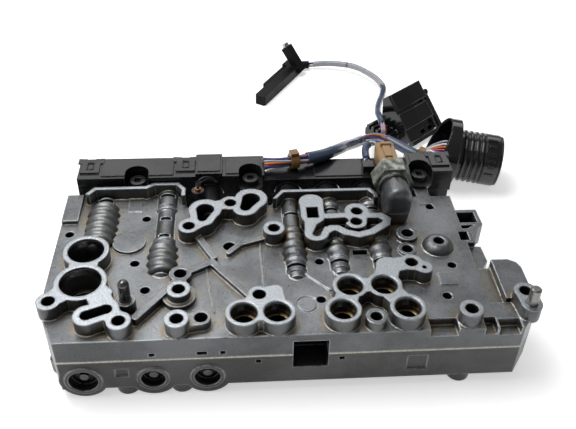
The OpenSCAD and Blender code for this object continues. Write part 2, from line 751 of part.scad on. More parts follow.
// Bores and slots of the upper valves.
module upper_valve_cuts() {
    for (i = [0 : upper_count - 1]) {
        front = clip_y[i] > 0 ? clip_y[i] - 0.5 : spring_seat[i];
        along_y(valve_x[i], upper_axis_z)
            translate([0, 0, front]) cylinder(r = upper_bore_r, h = valve_rear[i] - front + 1);
        if (clip_y[i] > 0)
            translate([valve_x[i] - clip_slot_w / 2, clip_y[i], upper_axis_z])
                cube([clip_slot_w, clip_w, boss_h + upper_axis_drop]);
    }
    along_y(solenoid_x[upper_count], upper_axis_z)
        translate([0, 0, notch_rear - nose_l - 2]) cylinder(r = upper_bore_r, h = nose_l + 3);
    for (s = peep_slots)
        translate([valve_x[s[0]] - s[2] / 2, s[1], upper_axis_z])
            cube([s[2], s[3], boss_h + upper_axis_drop]);
}

// Opening in the front face that crosses the separator plate.
window_x = 0.5;
window_w = 17.2;
window_d = 14;
window_low = 8.5;
window_high = 9;

module front_window() {
    translate([window_x, -1, plate_z - window_low])
        cube([window_w, window_d + 1, window_low + plate_t + window_high]);
}

module upper_casting() {
    color("#a3a6a8")
        seat()
            difference() {
                union() {
                    tall(upper_z, floor_z) plan2d();
                    rear_walls();
                    tall(floor_z - 1, boss_z) flanges2d();
                    tall(upper_z, boss_z) pear_flange2d();
                    low_bosses();
                    ribs();
                    for (i = [0 : upper_count - 1])
                        bulge(i);
                    elbow();
                    right_end();
                    rail_lugs();
                }
                upper_cuts();
                floor_marks();
                upper_valve_cuts();
                right_end_cuts();
                front_window();
            }
}

// One bulge and front ring around a lower valve bore.
module lower_bulge(i) {
    along_y(lower_x[i], lower_axis_z) {
        cylinder(r = lower_bulge_r, h = lower_bulge_end);
        translate([0, 0, -ring_proud]) cylinder(r = opening_r[i] + 2, h = ring_proud + 2);
    }
}

module lower_valve_cut(i) {
    along_y(lower_x[i], lower_axis_z) {
        translate([0, 0, -2]) cylinder(r = opening_r[i], h = opening_d + 2);
        cylinder(r = lower_bore_r, h = lower_bore_end);
        translate([0, 0, front_ring_y - 0.05])
            cylinder(r = opening_r[i] + front_ring_lip, h = front_ring_t + 0.1);
    }
}

module lower_casting() {
    color("#8f9294")
        seat()
            difference() {
                union() {
                    tall(underside_h, plate_z) {
                        plan2d();
                        right_foot2d();
                    }
                    for (i = [0 : lower_count - 1])
                        lower_bulge(i);
                    for (s = body_screw_at)
                        post(s, screw_boss_r, 0, underside_h + 1);
                    for (b = case_bolts)
                        post(b, bolt_r, 0, underside_h + 1);
                }
                for (i = [0 : lower_count - 1])
                    lower_valve_cut(i);
                for (s = body_screw_at) {
                    post(s, screw_r + screw_clearance, -1, plate_z + 1);
                    post(s, screw_head_r + screw_clearance, -1, screw_head_h + 1);
                }
                for (b = case_bolts)
                    post(b, bolt_hole_r, -1, plate_z + 1);
                front_window();
                for (n = lower_notches)
                    translate([n[0] - n[1] / 2, -1, plate_z - notch_up - notch_h])
                        cube([n[1], notch_d + 1, notch_h]);
                for (m = front_recesses)
                    translate([m[0], -1, m[1]]) cube([m[2], recess_d + 1, m[3]]);
            }
}

module separator_plate() {
    color("#c9c4b2")
        seat()
            tall(plate_z, upper_z)
                difference() {
                    union() {
                        plan2d();
                        right_foot2d();
                    }
                    for (s = body_screw_at)
                        translate(s) circle(screw_r + screw_clearance);
                    for (b = case_bolts)
                        translate(b) circle(bolt_hole_r);
                    translate([window_x, -1]) square([window_w, window_d + 1]);
                }
}

module body_screws() {
    socket_r = screw_head_r * 0.55;
    color("#6f7072")
        seat()
            for (s = body_screw_at)
                difference() {
                    union() {
                        post(s, screw_head_r, 1, screw_head_h + 1);
                        post(s, screw_r, screw_head_h, floor_z - screw_tip_drop);
                    }
                    translate([s[0], s[1], 0]) cylinder(r = socket_r, h = 1 + screw_head_h / 2, $fn = 6);
                }
}

module locating_stud() {
    color("#8b8a86")
        seat()
            translate([stud_at[0], stud_at[1], floor_z - pin_sink])
                rotate_extrude() {
                    square([stud_r + root_step, pin_sink + stud_foot_h]);
                    square([stud_r, pin_sink + stud_tall - stud_r]);
                    intersection() {
                        translate([0, pin_sink + stud_tall - stud_r]) circle(stud_r);
                        square([stud_r, pin_sink + stud_tall]);
                    }
                }
}

module dowel_pin() {
    edge = 0.6;
    color("#a19c93")
        seat()
            translate([dowel_at[0], dowel_at[1], boss_z - pin_sink])
                rotate_extrude()
                    polygon([[0, 0], [dowel_r + root_step, 0], [dowel_r + root_step, pin_sink],
                        [dowel_r, pin_sink], [dowel_r, pin_sink + dowel_tall - edge],
                        [dowel_r - edge, pin_sink + dowel_tall], [0, pin_sink + dowel_tall]]);
}

// Plugs behind the clips of the upper valves.
module valve_plugs() {
    color("#b4b2ab")
        seat()
            for (i = [2 : upper_count - 1])
                along_y(valve_x[i], upper_axis_z)
                    translate([0, 0, clip_y[i] + clip_w])
                        cylinder(r = upper_bore_r - spool_clearance, h = plug_l);
}

// Flat clips in the slots of the bulges.
module valve_clips() {
    t = clip_w - 0.6;
    w = clip_slot_w - 1.4;
    color("#75777a")
        seat()
            for (i = [2 : upper_count - 1])
                intersection() {
                    translate([valve_x[i] - w / 2, clip_y[i] + clip_w - t - 0.05, upper_axis_z + 0.1])
                        cube([w, t, upper_bore_r - 0.3]);
                    along_y(valve_x[i], upper_axis_z)
                        translate([0, 0, clip_y[i]]) cylinder(r = upper_bore_r + 0.6, h = clip_w);
                }
}

// A spool with three lands, standing along Z.
module spool(r, length) {
    end = length * 0.22;
    mid = length * 0.2;
    groove = (length - 2 * end - mid) / 2;
    rotate_extrude() {
        square([spool_neck_r, length]);
        square([r, end]);
        translate([0, end + groove]) square([r, mid]);
        translate([0, length - end]) square([r, end]);
    }
}

module upper_spool(i) {
    color("#c2c3c4")
        seat()
            along_y(valve_x[i], upper_axis_z)
                translate([0, 0, spool_front[i]])
                    spool(upper_bore_r - spool_clearance, spool_rear[i] - spool_front[i]);
}

module lower_spool(i) {
    color("#c2c3c4")
        seat()
            along_y(lower_x[i], lower_axis_z)
                translate([0, 0, lower_spool_y])
                    spool(lower_bore_r - spool_clearance, lower_spool_l);
}

// A coil spring along Y from its front end.
module coil(at) {
    steps = 12;
    rise = spring_l - 2 * spring_wire_r;
    path = [for (k = [0 : spring_turns * steps])
        at + [spring_r * cos(360 * k / steps), spring_wire_r + rise * k / (spring_turns * steps),
            spring_r * sin(360 * k / steps)]];
    swept_tube(path, spring_wire_r, 6, [0, 1, 0]);
}

module upper_spring(i) {
    color("#77797c")
        seat()
            coil([valve_x[i], spring_seat[i] + seat_gap, upper_axis_z]);
}

module lower_spring(i) {
    color("#77797c")
        seat()
            coil([lower_x[i], lower_spring_y, lower_axis_z]);
}

// Plugs in the front openings of the lower valves, each with a nub in the middle.
module front_plugs() {
    color("#7f7f7c")
        seat()
            for (i = [0 : lower_count - 1])
                along_y(lower_x[i], lower_axis_z) {
                    translate([0, 0, front_plug_y])
                        cylinder(r = opening_r[i] - spool_clearance, h = front_plug_l);
                    translate([0, 0, front_ring_y - 1]) cylinder(r = 2.2, h = front_ring_t + 1.5);
                }
}

// Open snap rings that hold the front plugs.
module front_rings() {
    gap_w = 4;
    color("#6b6c6e")
        seat()
            for (i = [0 : lower_count - 1])
                along_y(lower_x[i], lower_axis_z)
                    translate([0, 0, front_ring_y])
                        difference() {
                            cylinder(r = opening_r[i] + front_ring_lip - 0.1, h = front_ring_t);
                            translate([0, 0, -1]) cylinder(r = opening_r[i] - 1.3, h = front_ring_t + 2);
                            translate([-gap_w / 2, 0, -1]) cube([gap_w, 2 * opening_r[i], front_ring_t + 2]);
                        }
}

// One solenoid: nose in its bore, neck, can with a cap, and a contact block on top.
module solenoid(i) {
    back = solenoid_rear[i];
    color("#3b3d40")
        seat() {
            along_y(solenoid_x[i], upper_axis_z)
                rotate_extrude() {
                    translate([0, back - nose_l]) square([upper_bore_r - spool_clearance, nose_l + 0.5]);
                    translate([0, back + 0.1]) square([neck_r, can_y - back + 1]);
                    translate([0, can_y]) square([can_r, can_l - can_cap_l]);
                    translate([0, can_end - can_cap_l - 0.5]) square([can_r - 1.2, can_cap_l + 0.5]);
                }
            translate([solenoid_x[i] - plug_block[0] / 2, can_y + 5, upper_axis_z])
                cube([plug_block[0], plug_block[1], can_r + 0.1]);
        }
}

// Side view of the rail: its stepped top, shrunk by a wall for the inside.
module rail_side2d(wall) {
    bottom = rail_z - rail_h - (wall > 0 ? 1 : 0);
    polygon([[rail_x0 + wall, bottom], [rail_x0 + wall, rail_z - wall], [tall_x0 + wall, rail_z - wall],
        [tall_x0 + wall, tall_rail_z - wall], [tall_x1 - wall, tall_rail_z - wall],
        [tall_x1 - wall, rail_z - wall], [low_x0 - wall, rail_z - wall], [low_x0 - wall, low_rail_z - wall],
        [low_x1 + wall, low_rail_z - wall], [low_x1 + wall, rail_z - wall],
        [rail_x1 - wall, rail_z - wall], [rail_x1 - wall, bottom]]);
}

module rail_side(wall, from, to) {
    translate([0, to, 0])
        rotate([90, 0, 0])
            linear_extrude(to - from)
                rail_side2d(wall);
}

// Raised pad with a squared ring, over each latch.
module latch(x) {
    slot_w = 3;
    slot_l = 7;
    translate([x - latch_size[0] / 2, rail_y1 - latch_size[1] - 1, rail_z - 0.5])
        difference() {
            cube([latch_size[0], latch_size[1], latch_size[2] + 0.5]);
            translate([(latch_size[0] - slot_w) / 2, 3.5, latch_size[2]])
                cube([slot_w, slot_l, 1]);
            translate([(latch_size[0] - 5) / 2, latch_size[1] - 2, -1]) cube([5, 3, 5]);
        }
}

module rail_panels() {
    inset = 2;
    for (p = [[latch_x[0] + 7, latch_x[1] - 7, rail_z], [tall_x0 + 1, tall_x1 - 1, tall_rail_z],
        [tall_x1 + 2, low_x0 - 2, rail_z], [low_x0 + 30, low_x1 - 24, low_rail_z],
        [low_x1 + 2, latch_x[2] - 7, rail_z]])
        translate([p[0], rail_y0 + inset, p[2] - 0.5])
            cube([p[1] - p[0], rail_d - 2 * inset, panel_t + 0.5]);
}

module wiring_rail() {
    seat_z = lug_top + 0.05;
    recess_z = seat_z + seat_t;
    color("#232427")
        seat()
            difference() {
                union() {
                    difference() {
                        union() {
                            rail_side(0, rail_y0, rail_y1);
                            rail_panels();
                            for (x = latch_x)
                                latch(x);
                        }
                        rail_side(rail_wall, rail_y0 + rail_wall, rail_y1 - rail_wall);
                        for (x = rail_screw_x)
                            translate([x - lug_r - arch_gap, rail_y0 - 1, rail_z - rail_h - 1])
                                cube([2 * (lug_r + arch_gap), rail_screw_y + lug_r + 1.4 - rail_y0,
                                    seat_z - rail_z + rail_h + 1]);
                        for (i = [0 : solenoid_count - 1])
                            along_y(solenoid_x[i], upper_axis_z)
                                translate([0, 0, rail_y0 - 1]) cylinder(r = can_r + arch_gap, h = rail_d + 2);
                    }
                    for (x = rail_screw_x)
                        post([x, rail_screw_y], recess_r + 1.5, seat_z, rail_z);
                    translate([gland_at[0] - gland_size[0] / 2, gland_at[1], low_rail_z - 0.5])
                        cube([gland_size[0], gland_size[1], gland_size[2]]);
                }
                for (x = rail_screw_x) {
                    post([x, rail_screw_y], recess_r, recess_z, tall_rail_z);
                    post([x, rail_screw_y], screw_r + screw_clearance, seat_z - 1, recess_z + 1);
                    translate([x - recess_r, rail_screw_y - 12, recess_z])
                        cube([2 * recess_r, 12, rail_h]);
                }
            }
}

module rail_screws() {
    head_z = lug_top + 0.05 + seat_t;
    color("#1e1f21")
        seat()
            for (x = rail_screw_x)
                difference() {
                    union() {
                        post([x, rail_screw_y], rail_head_r, head_z, head_z + rail_head_h);
                        post([x, rail_screw_y], screw_r, upper_z + 4, head_z + 1);
                    }
                    translate([x, rail_screw_y, head_z + rail_head_h - 2])
                        cylinder(r = rail_head_r * 0.55, h = 3, $fn = 6);
                }
}

// Holder of the temperature probe, on the rail's front wall.
probe_x = lx(75);
probe_z = boss_z - 2;
holder_r = 3.6;
capsule_r = 1.7;

module probe_holder() {
    color("#2a2b2e")
        seat() {
            translate([probe_x, rail_y0 - 9, probe_z])
                difference() {
                    cylinder(r = holder_r, h = 4, center = true);
                    cylinder(r = capsule_r + 0.6, h = 6, center = true);
                }
            translate([probe_x - 1.5, rail_y0 - 6, probe_z - 2]) cube([3, 5.95, 4]);
        }
}

module probe_capsule() {
    capsule_l = 6.4;
    color("#b3703a")
        seat()
            translate([probe_x, rail_y0 - 9, probe_z - 3])
                rotate_extrude() {
                    square([capsule_r, capsule_l]);
                    translate([0, 1.2]) square([capsule_r + 0.55, 3.6]);
                }
}

// Plated body of the pressure sensor, along Y behind the elbow.
module sensor_body() {
    color("#b7b8ac")
        seat()
            along_y(sensor_x, sensor_z) {
                translate([0, 0, elbow_y1 + 0.02]) cylinder(r = elbow_r + 0.9, h = collar_l);
                translate([0, 0, elbow_y1 + collar_l])
                    cylinder(r = hex_af / 2 / cos(30), h = hex_l, $fn = 6);
                translate([0, 0, elbow_y1 + collar_l + hex_l - 1])
                    cylinder(r = elbow_r, h = sensor_neck_l + 1);
            }
}

module sensor_plug() {
    edge = 1.2;
    h = sensor_plug_h;
    w = sensor_plug_w;
    color("#b08a58")
        seat()
            translate([sensor_x, sensor_plug_y + sensor_plug_l, sensor_z])
                rotate([90, 0, 0])
                    linear_extrude(sensor_plug_l - 0.02)
                        polygon([[-w / 2, -h / 2], [w / 2, -h / 2], [w / 2, h / 2 - edge],
                            [w / 2 - edge, h / 2], [edge - w / 2, h / 2], [-w / 2, h / 2 - edge]]);
}

module sensor_lead() {
    color("#5b6b86")
        behind()
            translate([sensor_x, 0, 0])
                swept_tube(sensor_lead_route, sensor_lead_r, cord_sides, [0, 0, 1]);
}

module harness_main() {
    color("#5b6b86")
        behind()
            swept_tube(main_route, main_r, cord_sides, [0, 0, 1]);
}

module harness_branch() {
    color("#a9b0bd")
        behind()
            swept_tube(branch_route, branch_r, cord_sides, [0, 0, 1]);
}

module connector_lead() {
    color("#3c4048")
        behind()
            swept_tube(connector_lead_route, connector_lead_r, thin_cord_sides, [0, 0, 1]);
}

// A ring with a small head around the main cord.
module tie(at, turn) {
    inner = main_r + tie_gap;
    translate(at)
        rotate([0, 0, turn[1]])
            rotate([0, 90 + turn[0], 0])
                difference() {
                    union() {
                        cylinder(r = inner + tie_t, h = tie_w, center = true);
                        translate([-inner - tie_t - 1.6, -2.5, -tie_w / 2]) cube([3, 5, tie_w]);
                    }
                    cylinder(r = inner, h = tie_w + 1, center = true);
                }
}

module front_tie() {
    color("#a2772f")
        behind()
            tie(front_tie_at, front_tie_turn);
}

module rear_tie() {
    color("#7b5a2c")
        behind()
            tie(rear_tie_at, rear_tie_turn);
}

// Places a shape that stands along Z on the round connector's axis.
module on_round_axis() {
    translate([round_at[0], round_at[1], round_z])
        rotate([0, 0, round_turn])
            rotate([0, 90 + round_dip, 0])
                children();
}

// Barrel of the round connector, with sealing ribs, a smooth collar and a stepped end.
module round_connector() {
    neck_r = barrel_r - 1.2;
    last = hood_seat + barrel_l;
    color("#26272a")
        behind()
            on_round_axis()
                rotate_extrude()
                    difference() {
                        union() {
                            translate([0, hood_seat + 0.05]) square([neck_r, barrel_l - 0.05]);
                            for (k = [0 : rib_count - 1])
                                translate([neck_r, hood_seat + 4.4 + k * rib_pitch]) circle(rib_bead_r);
                            translate([0, hood_seat + collar_x])
                                square([barrel_r, barrel_l - collar_x - 2 * end_groove]);
                            translate([0, last - end_groove]) square([barrel_r - end_step, end_groove]);
                        }
                        translate([0, last - socket_depth]) square([barrel_r - socket_wall, socket_depth + 1]);
                    }
}

// Hood at the mouth of the round connector, cut slanting so that its lower lip reaches out.
module connector_hood() {
    wide = hood_r + 2;
    color("#1f2023")
        behind()
            on_round_axis()
                translate([-hood_rise, 0, 0])
                    difference() {
                        translate([0, 0, -hood_lip]) cylinder(r = hood_r, h = hood_lip + hood_seat);
                        translate([0, 0, -hood_lip - 1])
                            cylinder(r = hood_r - hood_wall, h = hood_lip + hood_seat - hood_floor + 1);
                        translate([0, wide, 0])
                            rotate([90, 0, 0])
                                linear_extrude(2 * wide)
                                    polygon([[-wide, 0.6], [-wide, -hood_lip - 2], [wide, -hood_lip - 2],
                                        [wide, -hood_lip - 0.6]]);
                    }
}

// Places a shape on the twin connector's sloping face, with Z out of the face.
module on_twin() {
    translate(twin_at)
        rotate([0, 0, twin_turn])
            rotate([twin_tilt, 0, 0])
                children();
}

// Places a shape on the comb's axes.
module on_comb() {
    translate([comb_at[0], comb_at[1], table_gap])
        rotate([0, 0, comb_turn])
            children();
}

// Wedge that carries the compartments; its outline is the view along the connector.
module twin_body() {
    translate([twin_left, 0, 0])
        rotate([90, 0, 90])
            linear_extrude(twin_l)
                polygon([[twin_foot, 0], [twin_face, 0], [twin_face, -twin_top], twin_belly,
                    [twin_foot, -twin_heel]]);
}

// One compartment that slopes away at its left end.
module twin_bay(k) {
    from = twin_left + k;
    to = twin_right + 2 * k;
    slope = 13 + 2 * k;
    translate([0, bay_y[k][1], 0])
        rotate([90, 0, 0])
            linear_extrude(bay_y[k][1] - bay_y[k][0])
                polygon([[from, -1], [to, -1], [to, bay_h], [from + slope, bay_h], [from, 1.4]]);
}

module twin_connector() {
    tooth_w = (comb_y1 - comb_y0) / (2 * comb_teeth);
    wall_t = 1.6;
    color("#202124")
        behind() {
            on_twin() {
                difference() {
                    twin_body();
                    for (p = slot_at)
                        translate([p[0], p[1], -4]) cube([slot_size[0], slot_size[1], 6]);
                }
                twin_bay(0);
                twin_bay(1);
                translate([twin_right - 0.6, twin_foot + 0.6, -twin_heel + 0.4])
                    cube([wall_t + 0.6, twin_face - twin_foot - 5, twin_heel + 1.6]);
            }
            on_comb() {
                translate([comb_x, comb_y0, 0]) cube([comb_l, comb_y1 - comb_y0, comb_h - 3]);
                for (k = [0 : comb_teeth - 1])
                    translate([comb_x, comb_y0 + (2 * k + 0.5) * tooth_w, 1])
                        cube([comb_l, tooth_w, comb_h - 1]);
            }
        }
}

// Bar and lower strip beside the twin connector's sloping face, with a knob on the bar.
module twin_frame() {
    low = -frame_t;
    color("#1b1c1f")
        behind()
            on_twin() {
                translate([-frame_t, 0, low]) cube([frame_t, frame_bar, frame_h]);
                translate([twin_left, 0, low]) cube([twin_l - twin_right - 1, frame_t, frame_h]);
                translate([-frame_t / 2, frame_bar, low]) cylinder(r = frame_knob_r, h = frame_h + 1);
            }
}

// Places a shape on the speed sensor's probe axis, with its tip at the origin.
module on_speed() {
    translate(speed_at)
        rotate([0, 0, speed_turn])
            children();
}

// Speed sensor: square probe with a wide head, a thin fin, a raised fixing tab and a wire boot.
module speed_sensor() {
    fin_t = 2.6;
    fin_gap = 2.4;
    fin_x = 22;
    head_l = 10;
    half = probe_w / 2;
    wide = half + fin_gap + fin_t;
    boot_end = branch_route[len(branch_route) - 1];
    color("#1d1e22")
        behind() {
            on_speed() {
                tall(table_gap, probe_h)
                    polygon([[0, 1 - half], [1, -half], [probe_l, -half], [probe_l, wide],
                        [probe_l - head_l, wide], [probe_l - head_l, half], [1, half], [0, half - 1]]);
                tall(table_gap, probe_h - 2)
                    translate([fin_x, half + fin_gap]) square([probe_l - fin_x - head_l / 2, fin_t - 0.3]);
                tab_frame()
                    cube([tab_t, tab_l, tab_h]);
            }
            translate([boot_x, boot_end[1], boot_end[2]])
                rotate([0, 90, 0])
                    cylinder(r = boot_r, h = boot_end[0] - boot_x - 0.05);
        }
}

// Places a shape on the fixing tab, which leans out of the head.
module tab_frame() {
    translate([probe_l - tab_t - 0.7, 1 - probe_w / 2, 1.3])
        rotate([tab_rise, 0, 0])
            children();
}

module speed_bush() {
    color("#b9bcc0")
        behind()
            on_speed()
                tab_frame()
                    translate([tab_t / 2, tab_l + 0.05, tab_h / 2])
                        rotate([-90, 0, 0])
                            cylinder(r = bush_r, h = bush_l);
}

upper_casting();
lower_casting();
separator_plate();
body_screws();
locating_stud();
dowel_pin();
valve_plugs();
valve_clips();
front_plugs();
front_rings();
for (i = [1 : upper_count]) {
    upper_spool(i - 1);
    upper_spring(i - 1);
}
for (i = [1 : lower_count]) {
    lower_spool(i - 1);
    lower_spring(i - 1);
}
for (i = [1 : solenoid_count])
    solenoid(i - 1);
wiring_rail();
rail_screws();
probe_holder();
probe_capsule();
sensor_body();
sensor_plug();
sensor_lead();
harness_main();
harness_branch();
connector_lead();
front_tie();
rear_tie();
round_connector();
connector_hood();
twin_connector();
twin_frame();
speed_sensor();
speed_bush();
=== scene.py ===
import logging
import math
from dataclasses import dataclass, field, replace
from enum import Enum
from typing import Any, Union

import bpy
from mathutils import Matrix, Vector, noise


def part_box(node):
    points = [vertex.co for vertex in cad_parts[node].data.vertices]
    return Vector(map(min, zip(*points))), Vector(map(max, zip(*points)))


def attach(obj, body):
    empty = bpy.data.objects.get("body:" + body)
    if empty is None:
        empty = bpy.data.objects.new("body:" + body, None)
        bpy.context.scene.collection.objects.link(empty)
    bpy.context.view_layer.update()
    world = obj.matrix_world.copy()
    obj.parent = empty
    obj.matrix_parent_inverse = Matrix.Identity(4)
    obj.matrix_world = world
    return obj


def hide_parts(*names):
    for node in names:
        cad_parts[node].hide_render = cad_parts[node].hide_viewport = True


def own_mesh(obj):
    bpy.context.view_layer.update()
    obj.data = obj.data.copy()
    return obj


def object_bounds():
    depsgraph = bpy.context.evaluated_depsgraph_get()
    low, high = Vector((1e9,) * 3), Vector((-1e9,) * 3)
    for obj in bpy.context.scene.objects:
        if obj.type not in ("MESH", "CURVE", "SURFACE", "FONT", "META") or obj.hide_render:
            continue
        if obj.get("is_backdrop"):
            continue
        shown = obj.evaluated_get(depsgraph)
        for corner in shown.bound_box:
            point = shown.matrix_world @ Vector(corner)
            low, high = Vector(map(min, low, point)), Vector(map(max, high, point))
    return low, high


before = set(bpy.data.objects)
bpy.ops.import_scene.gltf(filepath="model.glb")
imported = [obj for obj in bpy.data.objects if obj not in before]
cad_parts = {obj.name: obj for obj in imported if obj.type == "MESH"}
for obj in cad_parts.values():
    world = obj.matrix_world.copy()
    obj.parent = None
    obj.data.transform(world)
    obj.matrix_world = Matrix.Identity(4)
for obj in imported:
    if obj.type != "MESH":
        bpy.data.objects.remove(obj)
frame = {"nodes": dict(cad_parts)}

LOG = logging.getLogger("valve_body")
MM = 0.001
DATUM_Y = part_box("separator_plate")[0].y
HOUSING = "housing"
IMAGE_WIDTH = 576
X_AXIS, Y_AXIS, Z_AXIS = Vector((1, 0, 0)), Vector((0, 1, 0)), Vector((0, 0, 1))
UPRIGHT = (X_AXIS, Y_AXIS, Z_AXIS)

Rgb = tuple[float, float, float]
Point = tuple[float, float, float]
Flat = tuple[float, float]
Axes = tuple[Vector, Vector, Vector]
Feed = Union[bpy.types.NodeSocket, float, tuple]
Inputs = dict[Union[str, int], Feed]


def place(x: float, y: float, z: float) -> Vector:
    """Row-frame point of a datum point in millimetres, y counted from the front face."""
    return Vector((x * MM, y * MM + DATUM_Y, z * MM))


def around(sides: int) -> list[float]:
    """Angles of one full turn in equal steps."""
    return [2 * math.pi * k / sides for k in range(sides)]


def rectangle(width: float, length: float, x: float = 0.0, y: float = 0.0) -> list[Flat]:
    """Corners of a rectangle around x, y, counterclockwise."""
    a, b = width / 2, length / 2
    return [(x - a, y - b), (x + a, y - b), (x + a, y + b), (x - a, y + b)]


def tinted(tone: Rgb, gain: float, lift: float = 0.0, limit: float = 1.0) -> Rgb:
    """A colour made lighter or darker, up to a limit."""
    return tuple(min(limit, gain * c + lift) for c in tone)


@dataclass(frozen=True)
class Cloud:
    """A noise pattern, and the part of its range that is drawn out to 0..1."""

    scale: float
    detail: float
    low: float = 0.0
    high: float = 1.0
    rough: float = 0.55


WEAR_AND_HIGHLIGHT_PATCHES = Cloud(300.0, 2.0, 0.22, 0.5)
OIL_PATCHES = Cloud(75.0, 4.0, 0.32, 0.54, 0.5)
CAST_BROAD = Cloud(26.0, 5.0, 0.36, 0.64, 0.62)
CAST_FINE = Cloud(820.0, 3.0, 0.2, 0.8)
CAST_PITS = Cloud(1900.0, 2.0, 0.4, 0.7)
MILL_SPECKS = Cloud(1300.0, 2.0, 0.3, 0.72)
PLASTIC_SPARK = Cloud(2600.0, 2.0)
FINGER_SMEARS = Cloud(60.0, 5.0, 0.35, 0.75)


class Graph:
    """Adds shader nodes to a tree and links them."""

    def __init__(self, tree: bpy.types.NodeTree) -> None:
        """Keeps the tree."""
        self.tree = tree

    def add(self, kind: str, inputs: Inputs | None = None, **props: Any) -> bpy.types.Node:
        """Adds one node.

        Args:
            kind: Blender's node type name.
            inputs: values or output sockets by input name or index.
            props: attributes set on the node.

        Returns:
            The new node.
        """
        node = self.tree.nodes.new(kind)
        for key, value in props.items():
            setattr(node, key, value)
        self.into(node, inputs or {})
        return node

    def into(self, node: bpy.types.Node, inputs: Inputs) -> None:
        """Feeds several inputs of a node."""
        for key, value in inputs.items():
            self.feed(node.inputs[key], value)

    def feed(self, socket: bpy.types.NodeSocket, value: Feed) -> None:
        """Links an output socket to an input, or sets the input's constant.

        Args:
            socket: the input.
            value: an output socket, a number or a colour.
        """
        if isinstance(value, bpy.types.NodeSocket):
            self.tree.links.new(value, socket)
        elif hasattr(socket.default_value, "__len__") and len(socket.default_value) == 4:
            socket.default_value = (*value, 1.0)
        else:
            socket.default_value = value

    def group(self, tree: bpy.types.NodeTree, inputs: Inputs) -> bpy.types.bpy_prop_collection:
        """Outputs of a shared group, placed with its own values."""
        return self.add("ShaderNodeGroup", inputs, node_tree=tree).outputs

    def math(self, operation: str, a: Feed, b: Feed = 0.0,
             clamp: bool = False) -> bpy.types.NodeSocket:
        """Output of a math node."""
        node = self.add("ShaderNodeMath", {0: a, 1: b}, operation=operation, use_clamp=clamp)
        return node.outputs[0]

    def times(self, a: Feed, b: Feed) -> bpy.types.NodeSocket:
        """Product of two values."""
        return self.math("MULTIPLY", a, b)

    def plus(self, a: Feed, b: Feed) -> bpy.types.NodeSocket:
        """Sum of two values."""
        return self.math("ADD", a, b)

    def mix(self, factor: Feed, a: Feed, b: Feed) -> bpy.types.NodeSocket:
        """Colour between a and b."""
        return self.add("ShaderNodeMix", {0: factor, 6: a, 7: b}, data_type="RGBA").outputs[2]

    def blend(self, factor: Feed, a: Feed, b: Feed) -> bpy.types.NodeSocket:
        """Value between a and b."""
        return self.add("ShaderNodeMix", {0: factor, 2: a, 3: b}).outputs[0]

    def ramp(self, value: Feed, low: float, high: float) -> bpy.types.NodeSocket:
        """A value mapped from low..high to 0..1, clamped and smooth."""
        node = self.add("ShaderNodeMapRange", {"Value": value, "From Min": low, "From Max": high},
                        interpolation_type="SMOOTHSTEP")
        return node.outputs["Result"]

    def object_space(self) -> bpy.types.NodeSocket:
        """The object's own coordinates."""
        return self.add("ShaderNodeTexCoord").outputs["Object"]

    def noise(self, cloud: Cloud) -> bpy.types.NodeSocket:
        """Plain value of a noise pattern."""
        node = self.add("ShaderNodeTexNoise", {
            "Vector": self.object_space(), "Scale": cloud.scale, "Detail": cloud.detail,
            "Roughness": cloud.rough})
        return node.outputs["Fac"]

    def cloud(self, cloud: Cloud) -> bpy.types.NodeSocket:
        """A noise pattern drawn out to 0..1."""
        return self.ramp(self.noise(cloud), cloud.low, cloud.high)

    def bump(self, height: Feed, strength: float, distance: float,
             normal: Feed) -> bpy.types.NodeSocket:
        """Normal of a bump node on top of another normal."""
        return self.add("ShaderNodeBump", {"Height": height, "Strength": strength,
                                           "Distance": distance, "Normal": normal}).outputs[0]


